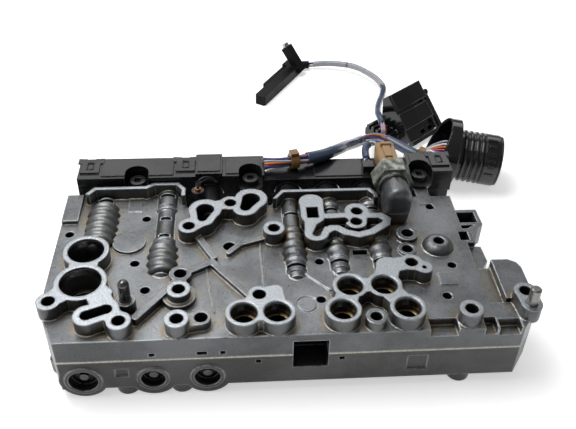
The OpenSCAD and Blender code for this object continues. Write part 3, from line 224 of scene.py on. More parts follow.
class Groups:
    """Shader node groups that several finishes share."""

    EDGE_TURN = (0.998, 0.93)
    CORNER_SHADE = (0.7, 0.42)
    HALO_SHADE = (0.95, 0.68)
    HOLLOW_SHADE = (0.46, 0.1)
    HOLLOW_REACH = 20.0 * MM

    def __init__(self) -> None:
        """Builds every group once."""
        self.edges = self._edges()
        self.grime = self._shade_and_oil()
        self.cast = self._cast()
        self.machined = self._machined()
        self.grain = self._grain()

    @staticmethod
    def _open(name: str, inputs: list[tuple[str, str, Any]], outputs: list[tuple[str, str]],
              ) -> tuple[bpy.types.NodeTree, Graph, Any, bpy.types.Node]:
        """Makes an empty group.

        Args:
            name: the group's name.
            inputs: (socket name, short type, default) of each input.
            outputs: (socket name, short type) of each output.

        Returns:
            The tree, a graph on it, its inputs by name and its output node.
        """
        tree = bpy.data.node_groups.new(name, "ShaderNodeTree")
        for label, kind, default in inputs:
            socket = tree.interface.new_socket(label, in_out="INPUT",
                                               socket_type=f"NodeSocket{kind}")
            socket.default_value = default
        for label, kind in outputs:
            tree.interface.new_socket(label, in_out="OUTPUT", socket_type=f"NodeSocket{kind}")
        graph = Graph(tree)
        return tree, graph, graph.add("NodeGroupInput").outputs, graph.add("NodeGroupOutput")

    def _edges(self) -> bpy.types.NodeTree:
        """Rounded normal and an edge mask for scuffs and painted highlight.

        Returns:
            The group.
        """
        tree, g, source, sink = self._open(
            "Edges", [("Radius", "Float", 0.0005), ("Wear", "Float", 0.5)],
            [("Normal", "Vector"), ("Mask", "Float")])
        rounded = g.add("ShaderNodeBevel", {"Radius": source["Radius"]}, samples=4).outputs[0]
        flat = g.add("ShaderNodeNewGeometry").outputs["Normal"]
        dot = g.add("ShaderNodeVectorMath", {0: rounded, 1: flat}, operation="DOT_PRODUCT")
        edge = g.ramp(dot.outputs["Value"], *self.EDGE_TURN)
        # edges in patches: partly scuffs, partly painted highlight
        wear_and_highlight = g.times(edge, g.cloud(WEAR_AND_HIGHLIGHT_PATCHES))
        g.into(sink, {"Normal": rounded,
                      "Mask": g.math("MULTIPLY", wear_and_highlight, source["Wear"], clamp=True)})
        return tree

    def _shade_and_oil(self) -> bpy.types.NodeTree:
        """Painted shade in corners, a patchy halo of old oil around them, and a mask for painted
        shade in hollows.

        Returns:
            The group.
        """
        tree, g, source, sink = self._open(
            "Grime", [("Reach", "Float", 0.005)],
            [("Corner shade", "Float"), ("Halo", "Float"), ("Hollow", "Float")])
        near, far = (
            g.add("ShaderNodeAmbientOcclusion", {"Distance": reach}, samples=8).outputs["AO"]
            for reach in (source["Reach"], self.HOLLOW_REACH))
        halo = g.times(g.ramp(near, *self.HALO_SHADE), g.cloud(OIL_PATCHES))
        g.into(sink, {"Corner shade": g.ramp(near, *self.CORNER_SHADE), "Halo": halo,
                      "Hollow": g.ramp(far, *self.HOLLOW_SHADE)})
        return tree

    def _cast(self) -> bpy.types.NodeTree:
        """Mottled skin of a die casting.

        Returns:
            The group.
        """
        tree, g, source, sink = self._open(
            "Cast skin",
            [("Light", "Color", (0.5, 0.5, 0.5, 1)), ("Dark", "Color", (0.3, 0.3, 0.3, 1))],
            [("Color", "Color"), ("Roughness", "Float"), ("Height", "Float")])
        broad, fine, pits = (g.cloud(c) for c in (CAST_BROAD, CAST_FINE, CAST_PITS))
        tone = g.plus(g.times(broad, 0.55), g.times(fine, 0.32))
        g.into(sink, {"Color": g.mix(tone, source["Dark"], source["Light"]),
                      "Roughness": g.plus(g.times(fine, 0.16), 0.26),
                      "Height": g.plus(fine, g.times(pits, 0.6))})
        return tree

    def _machined(self) -> bpy.types.NodeTree:
        """Mask of milled faces near one height and of a thin band down the walls just below it,
        which stands for cut rims and their painted highlight, with their tool marks.

        Returns:
            The group.
        """
        tree, g, source, sink = self._open(
            "Milled", [("Height", "Float", 0.047), ("Band", "Float", 0.0007)],
            [("Mask", "Float"), ("Marks", "Float")])
        spot = g.add("ShaderNodeNewGeometry").outputs["Position"]
        level = g.add("ShaderNodeSeparateXYZ", {0: spot}).outputs["Z"]
        below = g.math("ABSOLUTE", g.math("SUBTRACT", source["Height"], level))
        swirl = g.add("ShaderNodeTexWave", {
            "Vector": g.object_space(), "Scale": 160.0, "Distortion": 9.0, "Detail": 3.0,
            "Detail Scale": 2.0}, wave_type="RINGS", rings_direction="Z").outputs["Fac"]
        marks = g.plus(g.times(swirl, 0.35), g.times(g.cloud(MILL_SPECKS), 0.65))
        g.into(sink, {"Mask": g.math("LESS_THAN", below, source["Band"]), "Marks": marks})
        return tree

    def _grain(self) -> bpy.types.NodeTree:
        """Moulded plastic grain with dust and finger marks.

        Returns:
            The group.
        """
        tree, g, source, sink = self._open(
            "Moulded grain",
            [("Tone", "Color", (0.02, 0.02, 0.02, 1)), ("Dust", "Color", (0.1, 0.1, 0.1, 1)),
             ("Gloss", "Float", 0.35)],
            [("Color", "Color"), ("Roughness", "Float"), ("Height", "Float")])
        smear = g.cloud(FINGER_SMEARS)
        g.into(sink, {"Color": g.mix(g.times(smear, 0.5), source["Tone"], source["Dust"]),
                      "Roughness": g.plus(source["Gloss"], g.times(smear, 0.18)),
                      "Height": g.noise(PLASTIC_SPARK)})
        return tree


def new_material(name: str) -> tuple[bpy.types.Material, Graph, bpy.types.Node]:
    """A node material.

    Args:
        name: the material's name.

    Returns:
        The material, its graph and its Principled shader.
    """
    mat = bpy.data.materials.new(name)
    mat.use_nodes = True
    return mat, Graph(mat.node_tree), mat.node_tree.nodes["Principled BSDF"]


@dataclass(frozen=True)
class CastFinish:
    """Die-cast aluminium, milled at one height and stained by oil, with painted shade in corners,
    in hollows and on front faces, and a painted highlight on its edges.
    """

    name: str
    light: Rgb
    dark: Rgb
    milled: Rgb
    stain: Rgb
    # dark colour of the painted shade in corners and on front faces
    grime: Rgb
    milled_height: float
    stain_share: float
    metallic: float = 0.8
    # how strongly faces turned to the front are darkened: painted shade
    front_shade: float = 0.42
    edge: float = 1.1 * MM
    shade_reach: float = 5.0 * MM
    rim_and_highlight_band: float = 0.7 * MM
    milled_roughness: float = 0.3
    mark_gain: float = 0.62
    # edge colour, the milled colour made lighter: painted highlight, partly scuffs
    edge_highlight_gain: float = 1.75
    edge_limit: float = 0.9
    corner_share: float = 0.72
    hollow_share: float = 0.85
    # near-black colour of the painted shade in bores and hollows
    hollow: Rgb = (0.008, 0.007, 0.006)
    front_turn: Flat = (-0.35, -0.95)
    gloss_share: float = 0.55
    relief: Flat = (0.4, 0.2 * MM)

    def material(self, groups: Groups) -> bpy.types.Material:
        """Builds the material.

        Args:
            groups: the shared groups.

        Returns:
            The material.
        """
        mat, g, shader = new_material(self.name)
        edges = g.group(groups.edges, {"Radius": self.edge, "Wear": 1.0})
        shade_and_oil_masks = g.group(groups.grime, {"Reach": self.shade_reach})
        skin = g.group(groups.cast, {"Light": self.light, "Dark": self.dark})
        mill = g.group(groups.machined, {"Height": self.milled_height, "Band": self.rim_and_highlight_band})
        # milled faces, and a thin band down the walls below them in the milled colour: cut rims
        # with a painted highlight
        bright = g.mix(mill["Marks"], tinted(self.milled, self.mark_gain), self.milled)
        # edges get a much lighter milled colour: painted highlight, partly scuffs
        wear_and_highlight = tinted(self.milled, self.edge_highlight_gain, limit=self.edge_limit)
        oil = g.times(shade_and_oil_masks["Halo"], self.stain_share)
        # faces turned to the front are darkened towards the shade colour: painted shade
        normal = g.add("ShaderNodeNewGeometry").outputs["Normal"]
        facing = g.add("ShaderNodeSeparateXYZ", {0: normal}).outputs["Y"]
        front = g.times(g.ramp(facing, *self.front_turn), self.front_shade)
        colour = skin["Color"]
        # corners darkened towards the shade colour: painted shade
        corner = g.times(shade_and_oil_masks["Corner shade"], self.corner_share)
        # bores and hollows darkened towards near black: painted shade
        deep_shade = g.times(shade_and_oil_masks["Hollow"], self.hollow_share)
        for share, tone in ((oil, self.stain), (corner, self.grime), (edges["Mask"], wear_and_highlight),
                            (mill["Mask"], bright), (front, self.grime), (deep_shade, self.hollow)):
            colour = g.mix(share, colour, tone)
        film = g.times(g.math("MAXIMUM", shade_and_oil_masks["Corner shade"], oil), self.gloss_share)
        g.into(shader, {
            "Base Color": colour, "Metallic": self.metallic, "Coat Weight": film,
            "Roughness": g.blend(mill["Mask"], skin["Roughness"], self.milled_roughness),
            "Normal": g.bump(skin["Height"], *self.relief, edges["Normal"])})
        return mat


@dataclass(frozen=True)
class MetalFinish:
    """Plain turned, drawn or plated metal, darkened in corners by painted shade, with a lighter
    colour on its edges for scuffs and painted highlight.
    """

    name: str
    tone: Rgb
    wear: Rgb
    roughness: float = 0.35
    metallic: float = 0.9
    grain: float = 700.0
    mottle: float = 0.72
    light_gain: float = 1.2
    corner_shade_gain: float = 0.25
    edge: float = 0.35 * MM
    shade_reach: float = 5.0 * MM
    rough_swing: float = 0.2
    relief: Flat = (0.2, 0.1 * MM)

    def material(self, groups: Groups) -> bpy.types.Material:
        """Builds the material.

        Args:
            groups: the shared groups.

        Returns:
            The material.
        """
        mat, g, shader = new_material(self.name)
        edges = g.group(groups.edges, {"Radius": self.edge})
        shade_and_oil_masks = g.group(groups.grime, {"Reach": self.shade_reach})
        grain = Cloud(self.grain, 3.0, 0.3, 0.7)
        fine = g.noise(grain)
        tone = g.mix(g.ramp(fine, grain.low, grain.high), tinted(self.tone, self.mottle),
                     tinted(self.tone, self.light_gain))
        # corners darkened: painted shade
        tone = g.mix(shade_and_oil_masks["Corner shade"], tone, tinted(self.tone, self.corner_shade_gain))
        # edges take a lighter colour: partly scuffed bare metal, partly painted highlight
        g.into(shader, {
            "Base Color": g.mix(edges["Mask"], tone, self.wear), "Metallic": self.metallic,
            "Roughness": g.plus(g.times(fine, self.rough_swing),
                                self.roughness - self.rough_swing / 2),
            "Normal": g.bump(fine, *self.relief, edges["Normal"])})
        return mat


@dataclass(frozen=True)
class PlasticFinish:
    """Moulded plastic or rubber, with a painted highlight along its edges."""

    name: str
    tone: Rgb
    dust: Rgb
    gloss: float = 0.35
    edge: float = 0.5 * MM
    shine: float = 0.5
    highlight_share: float = 0.9
    edge_highlight_gain: float = 1.5
    highlight_lift: float = 0.1
    relief: Flat = (0.12, 0.1 * MM)

    def material(self, groups: Groups) -> bpy.types.Material:
        """Builds the material.

        Args:
            groups: the shared groups.

        Returns:
            The material.
        """
        mat, g, shader = new_material(self.name)
        edges = g.group(groups.edges, {"Radius": self.edge})
        grain = g.group(groups.grain, {"Tone": self.tone, "Dust": self.dust, "Gloss": self.gloss})
        # edges take a lighter colour: painted highlight
        g.into(shader, {
            "Base Color": g.mix(g.times(edges["Mask"], self.highlight_share), grain["Color"],
                                tinted(self.tone, self.edge_highlight_gain, self.highlight_lift)),
            "Roughness": grain["Roughness"], "Specular IOR Level": self.shine,
            "Normal": g.bump(grain["Height"], *self.relief, edges["Normal"])})
        return mat


Finish = Union[CastFinish, MetalFinish, PlasticFinish]


class Wire(Enum):
    """Insulation colours of the thin wires."""

    ORANGE = (0.62, 0.17, 0.05)
    NAVY = (0.05, 0.05, 0.2)
    WHITE = (0.78, 0.78, 0.77)
    RED = (0.5, 0.05, 0.06)
    GREEN = (0.02, 0.16, 0.12)
    PINK = (0.62, 0.3, 0.38)
    GREY = (0.36, 0.38, 0.42)
    BLACK = (0.015, 0.015, 0.018)
    BLUE = (0.05, 0.16, 0.5)


class Shop:
    """Makes each material once and hands it out by name."""

    WIRE_GLOSS = 0.3
    WIRE_EDGE = 0.1 * MM

    def __init__(self) -> None:
        """Builds the node groups and an empty shelf."""
        self.groups = Groups()
        self.shelf: dict[str, bpy.types.Material] = {}

    def get(self, finish: Finish) -> bpy.types.Material:
        """The material of a finish, made on first use.

        Args:
            finish: the finish.

        Returns:
            Its material.
        """
        if finish.name not in self.shelf:
            self.shelf[finish.name] = finish.material(self.groups)
        return self.shelf[finish.name]

    def wire(self, colour: Wire) -> bpy.types.Material:
        """The material of one wire colour."""
        dust = tinted(colour.value, 1.15, 0.03)
        return self.get(PlasticFinish(f"Wire {colour.name.lower()}", colour.value, dust,
                                      self.WIRE_GLOSS, self.WIRE_EDGE))


UPPER = CastFinish("Upper casting", (0.262, 0.274, 0.284), (0.088, 0.092, 0.096),
                   (0.45, 0.482, 0.51), (0.2, 0.148, 0.075), (0.022, 0.02, 0.017),
                   47.0 * MM, 0.75)
LOWER = CastFinish("Lower casting", (0.155, 0.156, 0.158), (0.06, 0.06, 0.061),
                   (0.28, 0.285, 0.29), (0.05, 0.042, 0.03), (0.016, 0.014, 0.011), -1.0, 0.5)
# the elbow's skin gets much less painted shade on its front faces
ELBOW = replace(UPPER, name="Elbow casting", front_shade=0.1)
BORED = MetalFinish("Bored rim", (0.6, 0.62, 0.64), (0.85, 0.86, 0.88), 0.22, 1.0)
OILY = MetalFinish("Oily ledge", (0.2, 0.14, 0.07), (0.45, 0.36, 0.22), 0.18, 1.0)
PLATE = MetalFinish("Separator plate", (0.62, 0.59, 0.5), (0.7, 0.67, 0.58), 0.45, 0.3)
STEEL = MetalFinish("Machined steel", (0.24, 0.235, 0.23), (0.55, 0.54, 0.53), 0.32)
PIN = MetalFinish("Dark pin", (0.13, 0.13, 0.13), (0.4, 0.4, 0.4), 0.25)
DARK_STEEL = MetalFinish("Oiled steel", (0.09, 0.09, 0.09), (0.3, 0.3, 0.3), 0.35)
SPRING = MetalFinish("Spring wire", (0.3, 0.31, 0.33), (0.6, 0.6, 0.62), 0.3)
SPOOL = MetalFinish("Ground spool", (0.62, 0.63, 0.64), (0.8, 0.8, 0.8), 0.25)
PLATED = MetalFinish("Plated hex", (0.34, 0.36, 0.31), (0.5, 0.52, 0.47), 0.4, 0.6, 260.0, 0.16)
COPPER = MetalFinish("Copper capsule", (0.36, 0.17, 0.075), (0.6, 0.36, 0.2), 0.3)
BUSH = MetalFinish("Bright bush", (0.5, 0.52, 0.54), (0.75, 0.76, 0.78), 0.25)
RAIL = PlasticFinish("Rail plastic", (0.007, 0.0072, 0.0082), (0.02, 0.021, 0.024), 0.2)
BLACK = PlasticFinish("Black plastic", (0.008, 0.0082, 0.0095), (0.022, 0.023, 0.026), 0.27)
CAN = PlasticFinish("Solenoid can", (0.012, 0.0125, 0.014), (0.03, 0.03, 0.033), 0.25)
TAN = PlasticFinish("Tan plastic", (0.33, 0.205, 0.09), (0.2, 0.12, 0.055), 0.42)
AMBER = PlasticFinish("Amber tie", (0.20, 0.105, 0.025), (0.11, 0.06, 0.02), 0.28)
RIBBED = PlasticFinish("Ribbed black plastic", (0.006, 0.0062, 0.0072),
                       (0.011, 0.0115, 0.0135), 0.34, shine=0.1)
# wider rounded edges, and so a wider painted highlight on them
GLOSSY = PlasticFinish("Glossy black plastic", (0.005, 0.0052, 0.006), (0.014, 0.0145, 0.017),
                       0.08, 1.1 * MM, 0.6)
SLEEVE = PlasticFinish("Blue-grey sleeve", (0.042, 0.062, 0.11), (0.10, 0.125, 0.18), 0.14)
PALE_SLEEVE = PlasticFinish("Pale sleeve", (0.3, 0.32, 0.36), (0.42, 0.41, 0.4), 0.2)
RUBBER = PlasticFinish("Black rubber", (0.006, 0.006, 0.007), (0.015, 0.015, 0.016), 0.16)

NODE_FINISH: dict[str, Finish] = {
    "upper_casting": UPPER, "lower_casting": LOWER, "separator_plate": PLATE,
    "body_screws": DARK_STEEL, "locating_stud": PIN, "dowel_pin": STEEL, "valve_plugs": STEEL,
    "valve_clips": DARK_STEEL, "front_plugs": DARK_STEEL, "front_rings": DARK_STEEL,
    "wiring_rail": RAIL, "rail_screws": BLACK, "probe_holder": BLACK, "probe_capsule": COPPER,
    "sensor_body": PLATED, "sensor_plug": TAN, "front_tie": AMBER, "rear_tie": AMBER,
    "round_connector": GLOSSY, "connector_hood": GLOSSY, "twin_connector": GLOSSY,
    "twin_frame": GLOSSY, "speed_sensor": RIBBED, "speed_bush": BUSH,
}
PREFIX_FINISH: dict[str, Finish] = {
    "upper_spool_": SPOOL, "lower_spool_": SPOOL, "upper_spring_": SPRING,
    "lower_spring_": SPRING, "solenoid_": CAN,
}


class Path:
    """A smooth line through route points, with frames that turn as little as they can."""

    def __init__(self, points: list[Point], step: float = 1.2) -> None:
        """Samples a Catmull-Rom line.

        Args:
            points: datum points in millimetres.
            step: about how far apart the samples are, in millimetres.
        """
        route = [place(*p) for p in points]
        route = [2 * route[0] - route[1], *route, 2 * route[-1] - route[-2]]
        self.points: list[Vector] = []
        self.marks: list[int] = []
        for i in range(1, len(route) - 2):
            a, b, c, d = route[i - 1:i + 3]
            self.marks.append(len(self.points))
            count = max(2, round((c - b).length / (step * MM)))
            for k in range(count):
                t = k / count
                self.points.append(0.5 * ((2 * b) + (c - a) * t
                                          + (2 * a - 5 * b + 4 * c - d) * t * t
                                          + (3 * b - a - 3 * c + d) * t ** 3))
        self.marks.append(len(self.points))
        self.points.append(route[-2])
        self.frames = self._frames()

    def _frames(self) -> list[tuple[Vector, Vector]]:
        """Carries two side directions along the line.

        Returns:
            The two directions at each point.
        """
        last = len(self.points) - 1
        side = Vector((0, 0, 1))
        frames = []
        for i in range(last + 1):
            along = (self.points[min(i + 1, last)] - self.points[max(i - 1, 0)]).normalized()
            side = (side - along * side.dot(along)).normalized()
            frames.append((side.copy(), along.cross(side)))
        return frames

    @property
    def length(self) -> float:
        """Length along the points, in metres."""
        return sum((b - a).length for a, b in zip(self.points, self.points[1:]))

    def index(self, at: float) -> int:
        """Index of the sample at a place counted in route points."""
        low = min(int(at), len(self.marks) - 2)
        return round(self.marks[low] + (at - low) * (self.marks[low + 1] - self.marks[low]))

    def offset(self, i: int, r: float, angle: float) -> Vector:
        """A point off the line at index i, r metres away in the given direction."""
        a, b = self.frames[i]
        return self.points[i] + r * (math.cos(angle) * a + math.sin(angle) * b)


class Draft:
    """Collects faces with a material slot each and turns them into one object."""

    TUBE_SIDE = Vector((0.31, 0.17, 0.93))

    def __init__(self, name: str) -> None:
        """Starts an empty draft.

        Args:
            name: the piece's name.
        """
        self.name = name
        self.vertices: list[Vector] = []
        self.faces: list[tuple[int, ...]] = []
        self.slots: list[int] = []
        self.materials: list[bpy.types.Material] = []

    def slot(self, material: bpy.types.Material) -> int:
        """Finds a material's slot, and adds it on first use.

        Args:
            material: the material.

        Returns:
            Its slot number.
        """
        if material not in self.materials:
            self.materials.append(material)
        return self.materials.index(material)

    def rings(self, rings: list[list[Vector]], material: bpy.types.Material,
              caps: bool = True) -> None:
        """Skins a chain of equal rings.

        Args:
            rings: the rings, each a list of points.
            material: the finish.
            caps: whether the first and last rings are closed by a face.
        """
        base, n, slot = len(self.vertices), len(rings[0]), self.slot(material)
        for ring in rings:
            self.vertices.extend(ring)
        for i in range(len(rings) - 1):
            for k in range(n):
                p, q = base + i * n + k, base + i * n + (k + 1) % n
                self._face((p, q, q + n, p + n), slot)
        if caps:
            self._face(tuple(base + k for k in reversed(range(n))), slot)
            last = base + (len(rings) - 1) * n
            self._face(tuple(last + k for k in range(n)), slot)

    def _face(self, corners: tuple[int, ...], slot: int) -> None:
        """Adds one face."""
        self.faces.append(corners)
        self.slots.append(slot)

    def tube(self, centres: list[Vector], radius: float, material: bpy.types.Material,
             sides: int = 8) -> None:
        """A round tube along points.

        Args:
            centres: the points of its middle line.
            radius: its radius, in metres.
            material: its finish.
            sides: faces around it.
        """
        last = len(centres) - 1
        side, rings = self.TUBE_SIDE, []
        for i, centre in enumerate(centres):
            along = (centres[min(i + 1, last)] - centres[max(i - 1, 0)]).normalized()
            side = (side - along * side.dot(along)).normalized()
            other = along.cross(side)
            rings.append([centre + radius * (math.cos(t) * side + math.sin(t) * other)
                          for t in around(sides)])
        self.rings(rings, material)

    def prism(self, origin: Vector, axes: Axes, outline: list[Flat], height: float,
              chamfer: float, material: bpy.types.Material) -> None:
        """A small raised shape with a chamfered top.

        Args:
            origin: row-frame point under the shape.
            axes: two directions in its base and the direction it rises in.
            outline: counterclockwise corners in its base, in millimetres.
            height: how far it rises, in millimetres.
            chamfer: how far the top is drawn in, in millimetres.
            material: its finish.
        """
        u, v, n = axes
        middle = sum((Vector(c) for c in outline), Vector((0.0, 0.0))) / len(outline)
        rings = []
        for level, shrink in ((0.0, 0.0), (height - chamfer, 0.0), (height, chamfer)):
            ring = []
            for corner in outline:
                arm = Vector(corner) - middle
                spot = middle + arm * max(0.0, 1 - shrink / arm.length)
                ring.append(origin + MM * (spot.x * u + spot.y * v + level * n))
            rings.append(ring)
        self.rings(rings, material)

    def turned(self, origin: Vector, axes: Axes, profile: list[Flat],
               material: bpy.types.Material, closed: bool = True, sides: int = 48) -> None:
        """A turned shape.

        Args:
            origin: row-frame point on the axis.
            axes: two directions across the axis and the axis itself.
            profile: (radius, height) corners in millimetres, the outer side going up.
            material: its finish.
            closed: whether the profile closes on itself, as a ring's does; otherwise its ends
                are capped.
            sides: faces around the axis.
        """
        u, v, n = axes
        rings = [[origin + MM * (r * (math.cos(t) * u + math.sin(t) * v) + h * n)
                  for t in around(sides)]
                 for r, h in ([*profile, profile[0]] if closed else profile)]
        self.rings(rings, material, caps=not closed)

    def build(self, slot_name: str, body: str = HOUSING, smooth: bool = True) -> bpy.types.Object:
        """Makes the object and lets it ride on a body.

        Args:
            slot_name: not used.
            body: the CAD body that it rides on.
            smooth: whether its faces are shaded smooth.

        Returns:
            The new object.
        """
        mesh = bpy.data.meshes.new(self.name)
        mesh.from_pydata([tuple(v) for v in self.vertices], [], self.faces)
        for polygon, slot in zip(mesh.polygons, self.slots):
            polygon.material_index = slot
            polygon.use_smooth = smooth
        for material in self.materials:
            mesh.materials.append(material)
        mesh.update()
        obj = bpy.data.objects.new(self.name, mesh)
        bpy.context.scene.collection.objects.link(obj)
        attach(obj, body)
        LOG.info("piece %s: %d faces", self.name, len(self.faces))
        return obj


@dataclass
class Cord:
    """One cord: a bundle of thin wires along a route, partly in sleeves."""

    name: str
    node: str
    route: list[Point]
    radius: float
    wires: list[Wire]
    far_end: str
    with_pieces: list[str]
    wire_r: float = 0.62
    sleeves: list[tuple[float, float, PlasticFinish]] = field(default_factory=list)
    fan: Flat = (0.0, 0.0)
    lay: str = "loose"
    twist: float = 1.4
    core_from: int = 5
    core_reach: float = 0.1
    wire_reach: float = 0.78
    reach_sway: float = 0.2
    turn_sway: float = 0.6
    fan_share: float = 0.09
    fan_power: float = 1.4
    sleeve_sides: int = 20
    sleeve_fit: float = 1.03
    sleeve_lip: float = 0.93
    crumple: float = 0.22

    def build(self, shop: Shop) -> None:
        """Args:
            shop: where the materials come from.
        """
        path = Path(self.route)
        draft = Draft(self.name)
        for k, colour in enumerate(self.wires):
            draft.tube(self._wire(path, k), self.wire_r * MM, shop.wire(colour))
        obj = draft.build("sleeve")
        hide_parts(self.node)
        extra = [self._sleeve(path, k, shop) for k in range(len(self.sleeves))]
        path.length
        LOG.info("cord %s: %.0f mm", self.name, path.length * 1000)

    def _wire(self, path: Path, k: int) -> list[Vector]:
        """Lets one wire wander in the bundle and fan out at the ends.

        Args:
            path: the cord's path.
            k: the wire's number; in a thick bundle the first one is the core.

        Returns:
            The points of its middle line.
        """
        cored = len(self.wires) >= self.core_from
        turn = 2 * math.pi * k / (len(self.wires) - cored)
        inner, last = (self.radius - self.wire_r) * MM, len(path.points) - 1
        centres = []
        for i in [*range(0, last, 2), last]:
            s = i / last
            sway = noise.noise(Vector((k * 7.3, s * 9.0, 1.7)))
            angle = turn + self.twist * 2 * math.pi * s + self.turn_sway * sway
            spread = sum(f * max(0.0, 1 - e / self.fan_share) ** self.fan_power
                         for f, e in zip(self.fan, (s, 1 - s)))
            core = cored and k == 0
            reach = inner * (self.core_reach if core else self.wire_reach + self.reach_sway * sway)
            centres.append(path.offset(i, reach + spread * abs(math.sin(angle)) * MM, angle))
        return centres

    def _sleeve(self, path: Path, k: int, shop: Shop) -> bpy.types.Object:
        """Makes one sleeve over a stretch of the route, a little crumpled.

        Args:
            path: the cord's path.
            k: the sleeve's number.
            shop: where the materials come from.

        Returns:
            The sleeve.
        """
        start, end, finish = self.sleeves[k]
        draft = Draft(f"{self.name}_sleeve_{k + 1}")
        turns, rings = around(self.sleeve_sides), []
        first, last = path.index(start), path.index(end)
        for i in range(first, last + 1):
            ring = []
            for turn in turns:
                fold = noise.noise(Vector((i * 0.12, math.cos(turn) * 1.3,
                                           math.sin(turn) * 1.3 + k)))
                r = self.radius * self.sleeve_fit + self.crumple * fold
                ring.append(path.offset(i, r * MM, turn))
            rings.append(ring)
        lips = [[path.offset(i, self.sleeve_lip * self.radius * MM, turn) for turn in turns]
                for i in (first, last)]
        draft.rings([lips[0], *rings, lips[1]], shop.get(finish), caps=False)
        return draft.build("sleeve")


MAIN_ROUTE: list[Point] = [
    (-9, 123.5, 51.9), (0, 125, 51.9), (9, 127, 51.9), (18, 129.5, 51.8), (26.5, 133, 51.2),
    (33.5, 139.5, 49.2), (39.5, 149, 45), (45, 160, 39.5), (50.5, 171, 33.5), (56, 182, 27.5),
    (61.5, 193, 22), (66.5, 200, 19), (71.5, 205.8, 16), (77, 209.1, 13.9), (82, 207.6, 13),
    (87.5, 203, 12.3), (92.5, 198, 11.8), (97.3, 193.2, 11.3), (101.6, 189.9, 10.9),
    (106.4, 186.3, 10.7), (110.3, 183.6, 12.1), (113.6, 181, 14.4), (117.36, 178.6, 16.35),
    (120.87, 177.85, 16.05)]
BRANCH_ROUTE: list[Point] = [
    (80.72, 211.17, 15.5), (80.9, 214.6, 17.6), (80.2, 223, 19.4), (80, 233, 18.4),
    (81.4, 244, 16.4), (84.8, 257, 14.2), (89.4, 271, 12.2), (92.6, 283, 11), (92.6, 293.5, 10),
    (89.4, 306.5, 9), (84.2, 317, 8.2), (78.4, 325.7, 7.5), (71.5, 332, 6.8), (63.4, 335.8, 6.2),
    (54.5, 338.4, 5.6), (46.3, 339.3, 4.8), (38, 339.4, 4)]
SENSOR_ROUTE: list[Point] = [
    (63.7, 133, 54.3), (63.5, 138.5, 54), (61.5, 142, 53.2), (58, 143.5, 52.2),
    (54.8, 141.5, 51.2), (53.5, 137, 50.2), (53.3, 131.5, 49.6), (53.3, 126, 49.4)]
TWIN_ROUTE: list[Point] = [
    (66.1, 192, 17), (67.6, 198.5, 13.4), (68.4, 205.3, 10.2), (70.8, 211.5, 7.6),
    (74, 217.5, 5.6), (77, 222, 4.8), (79.4, 224.9, 4.6)]
CORDS = [
    Cord("main_bundle", "harness_main", MAIN_ROUTE, 3.5,
         [Wire.NAVY, Wire.ORANGE, Wire.NAVY, Wire.WHITE, Wire.BLACK, Wire.RED, Wire.GREEN,
          Wire.ORANGE, Wire.NAVY, Wire.GREY],
         "connector", ["round_connector", "connector_hood", "front_tie", "rear_tie", "hood_wires"],
         0.75, [(2.9, 9.9, SLEEVE), (13.9, 18.0, SLEEVE)], (2.4, 2.4)),
    Cord("branch_bundle", "harness_branch", BRANCH_ROUTE, 2.3,
         [Wire.GREY, Wire.RED, Wire.WHITE, Wire.NAVY, Wire.PINK, Wire.GREY],
         "connector", ["speed_sensor", "speed_bush"], 0.62,
         [(1.6, 7.3, SLEEVE), (7.6, 12.0, PALE_SLEEVE), (12.1, 15.6, PALE_SLEEVE)]),
    Cord("sensor_bundle", "sensor_lead", SENSOR_ROUTE, 2.2, [Wire.WHITE, Wire.GREY, Wire.NAVY],
         "object", [], 0.8, [(3.2, 6.2, SLEEVE)]),
    Cord("twin_bundle", "connector_lead", TWIN_ROUTE, 2.0,
         [Wire.RED, Wire.WHITE, Wire.BLACK, Wire.PINK],
         "connector", ["twin_connector", "twin_frame"], 0.7),
]


@dataclass
class ValveSprings:
    """Round-wire springs in place of the CAD ones."""

    valves: tuple[tuple[str, int], ...] = (("upper", 5), ("lower", 3))
    turns: int = 5
    steps: int = 20
    wire: float = 0.5 * MM
    travel: float = 4.0 * MM

    def build(self, shop: Shop) -> None:
        """Makes every spring.

        Args:
            shop: where the materials come from.
        """
        for kind, count in self.valves:
            for i in range(1, count + 1):
                self._spring(f"{kind}_spring_{i}", shop)

    def _spring(self, node: str, shop: Shop) -> None:
        """Makes one spring, which takes its size and place from its CAD node.

        Args:
            node: the CAD spring.
            shop: where the materials come from.
        """
        low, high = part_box(node)
        radius, length = (high.x - low.x) / 2 - self.wire, high.y - low.y
        base = Vector(((low.x + high.x) / 2, low.y + self.wire, (low.z + high.z) / 2))
        last = self.turns * self.steps
        line = []
        for k in range(last + 1):
            t = 2 * math.pi * k / self.steps
            line.append(base + radius * (math.cos(t) * X_AXIS + math.sin(t) * Z_AXIS)
                        + (length - 2 * self.wire) * k / last * Y_AXIS)
        draft = Draft(f"{node}_coil")
        draft.tube(line, self.wire, shop.get(SPRING))
        coil = draft.build("spring_steel")
        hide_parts(node)
        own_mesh(coil)


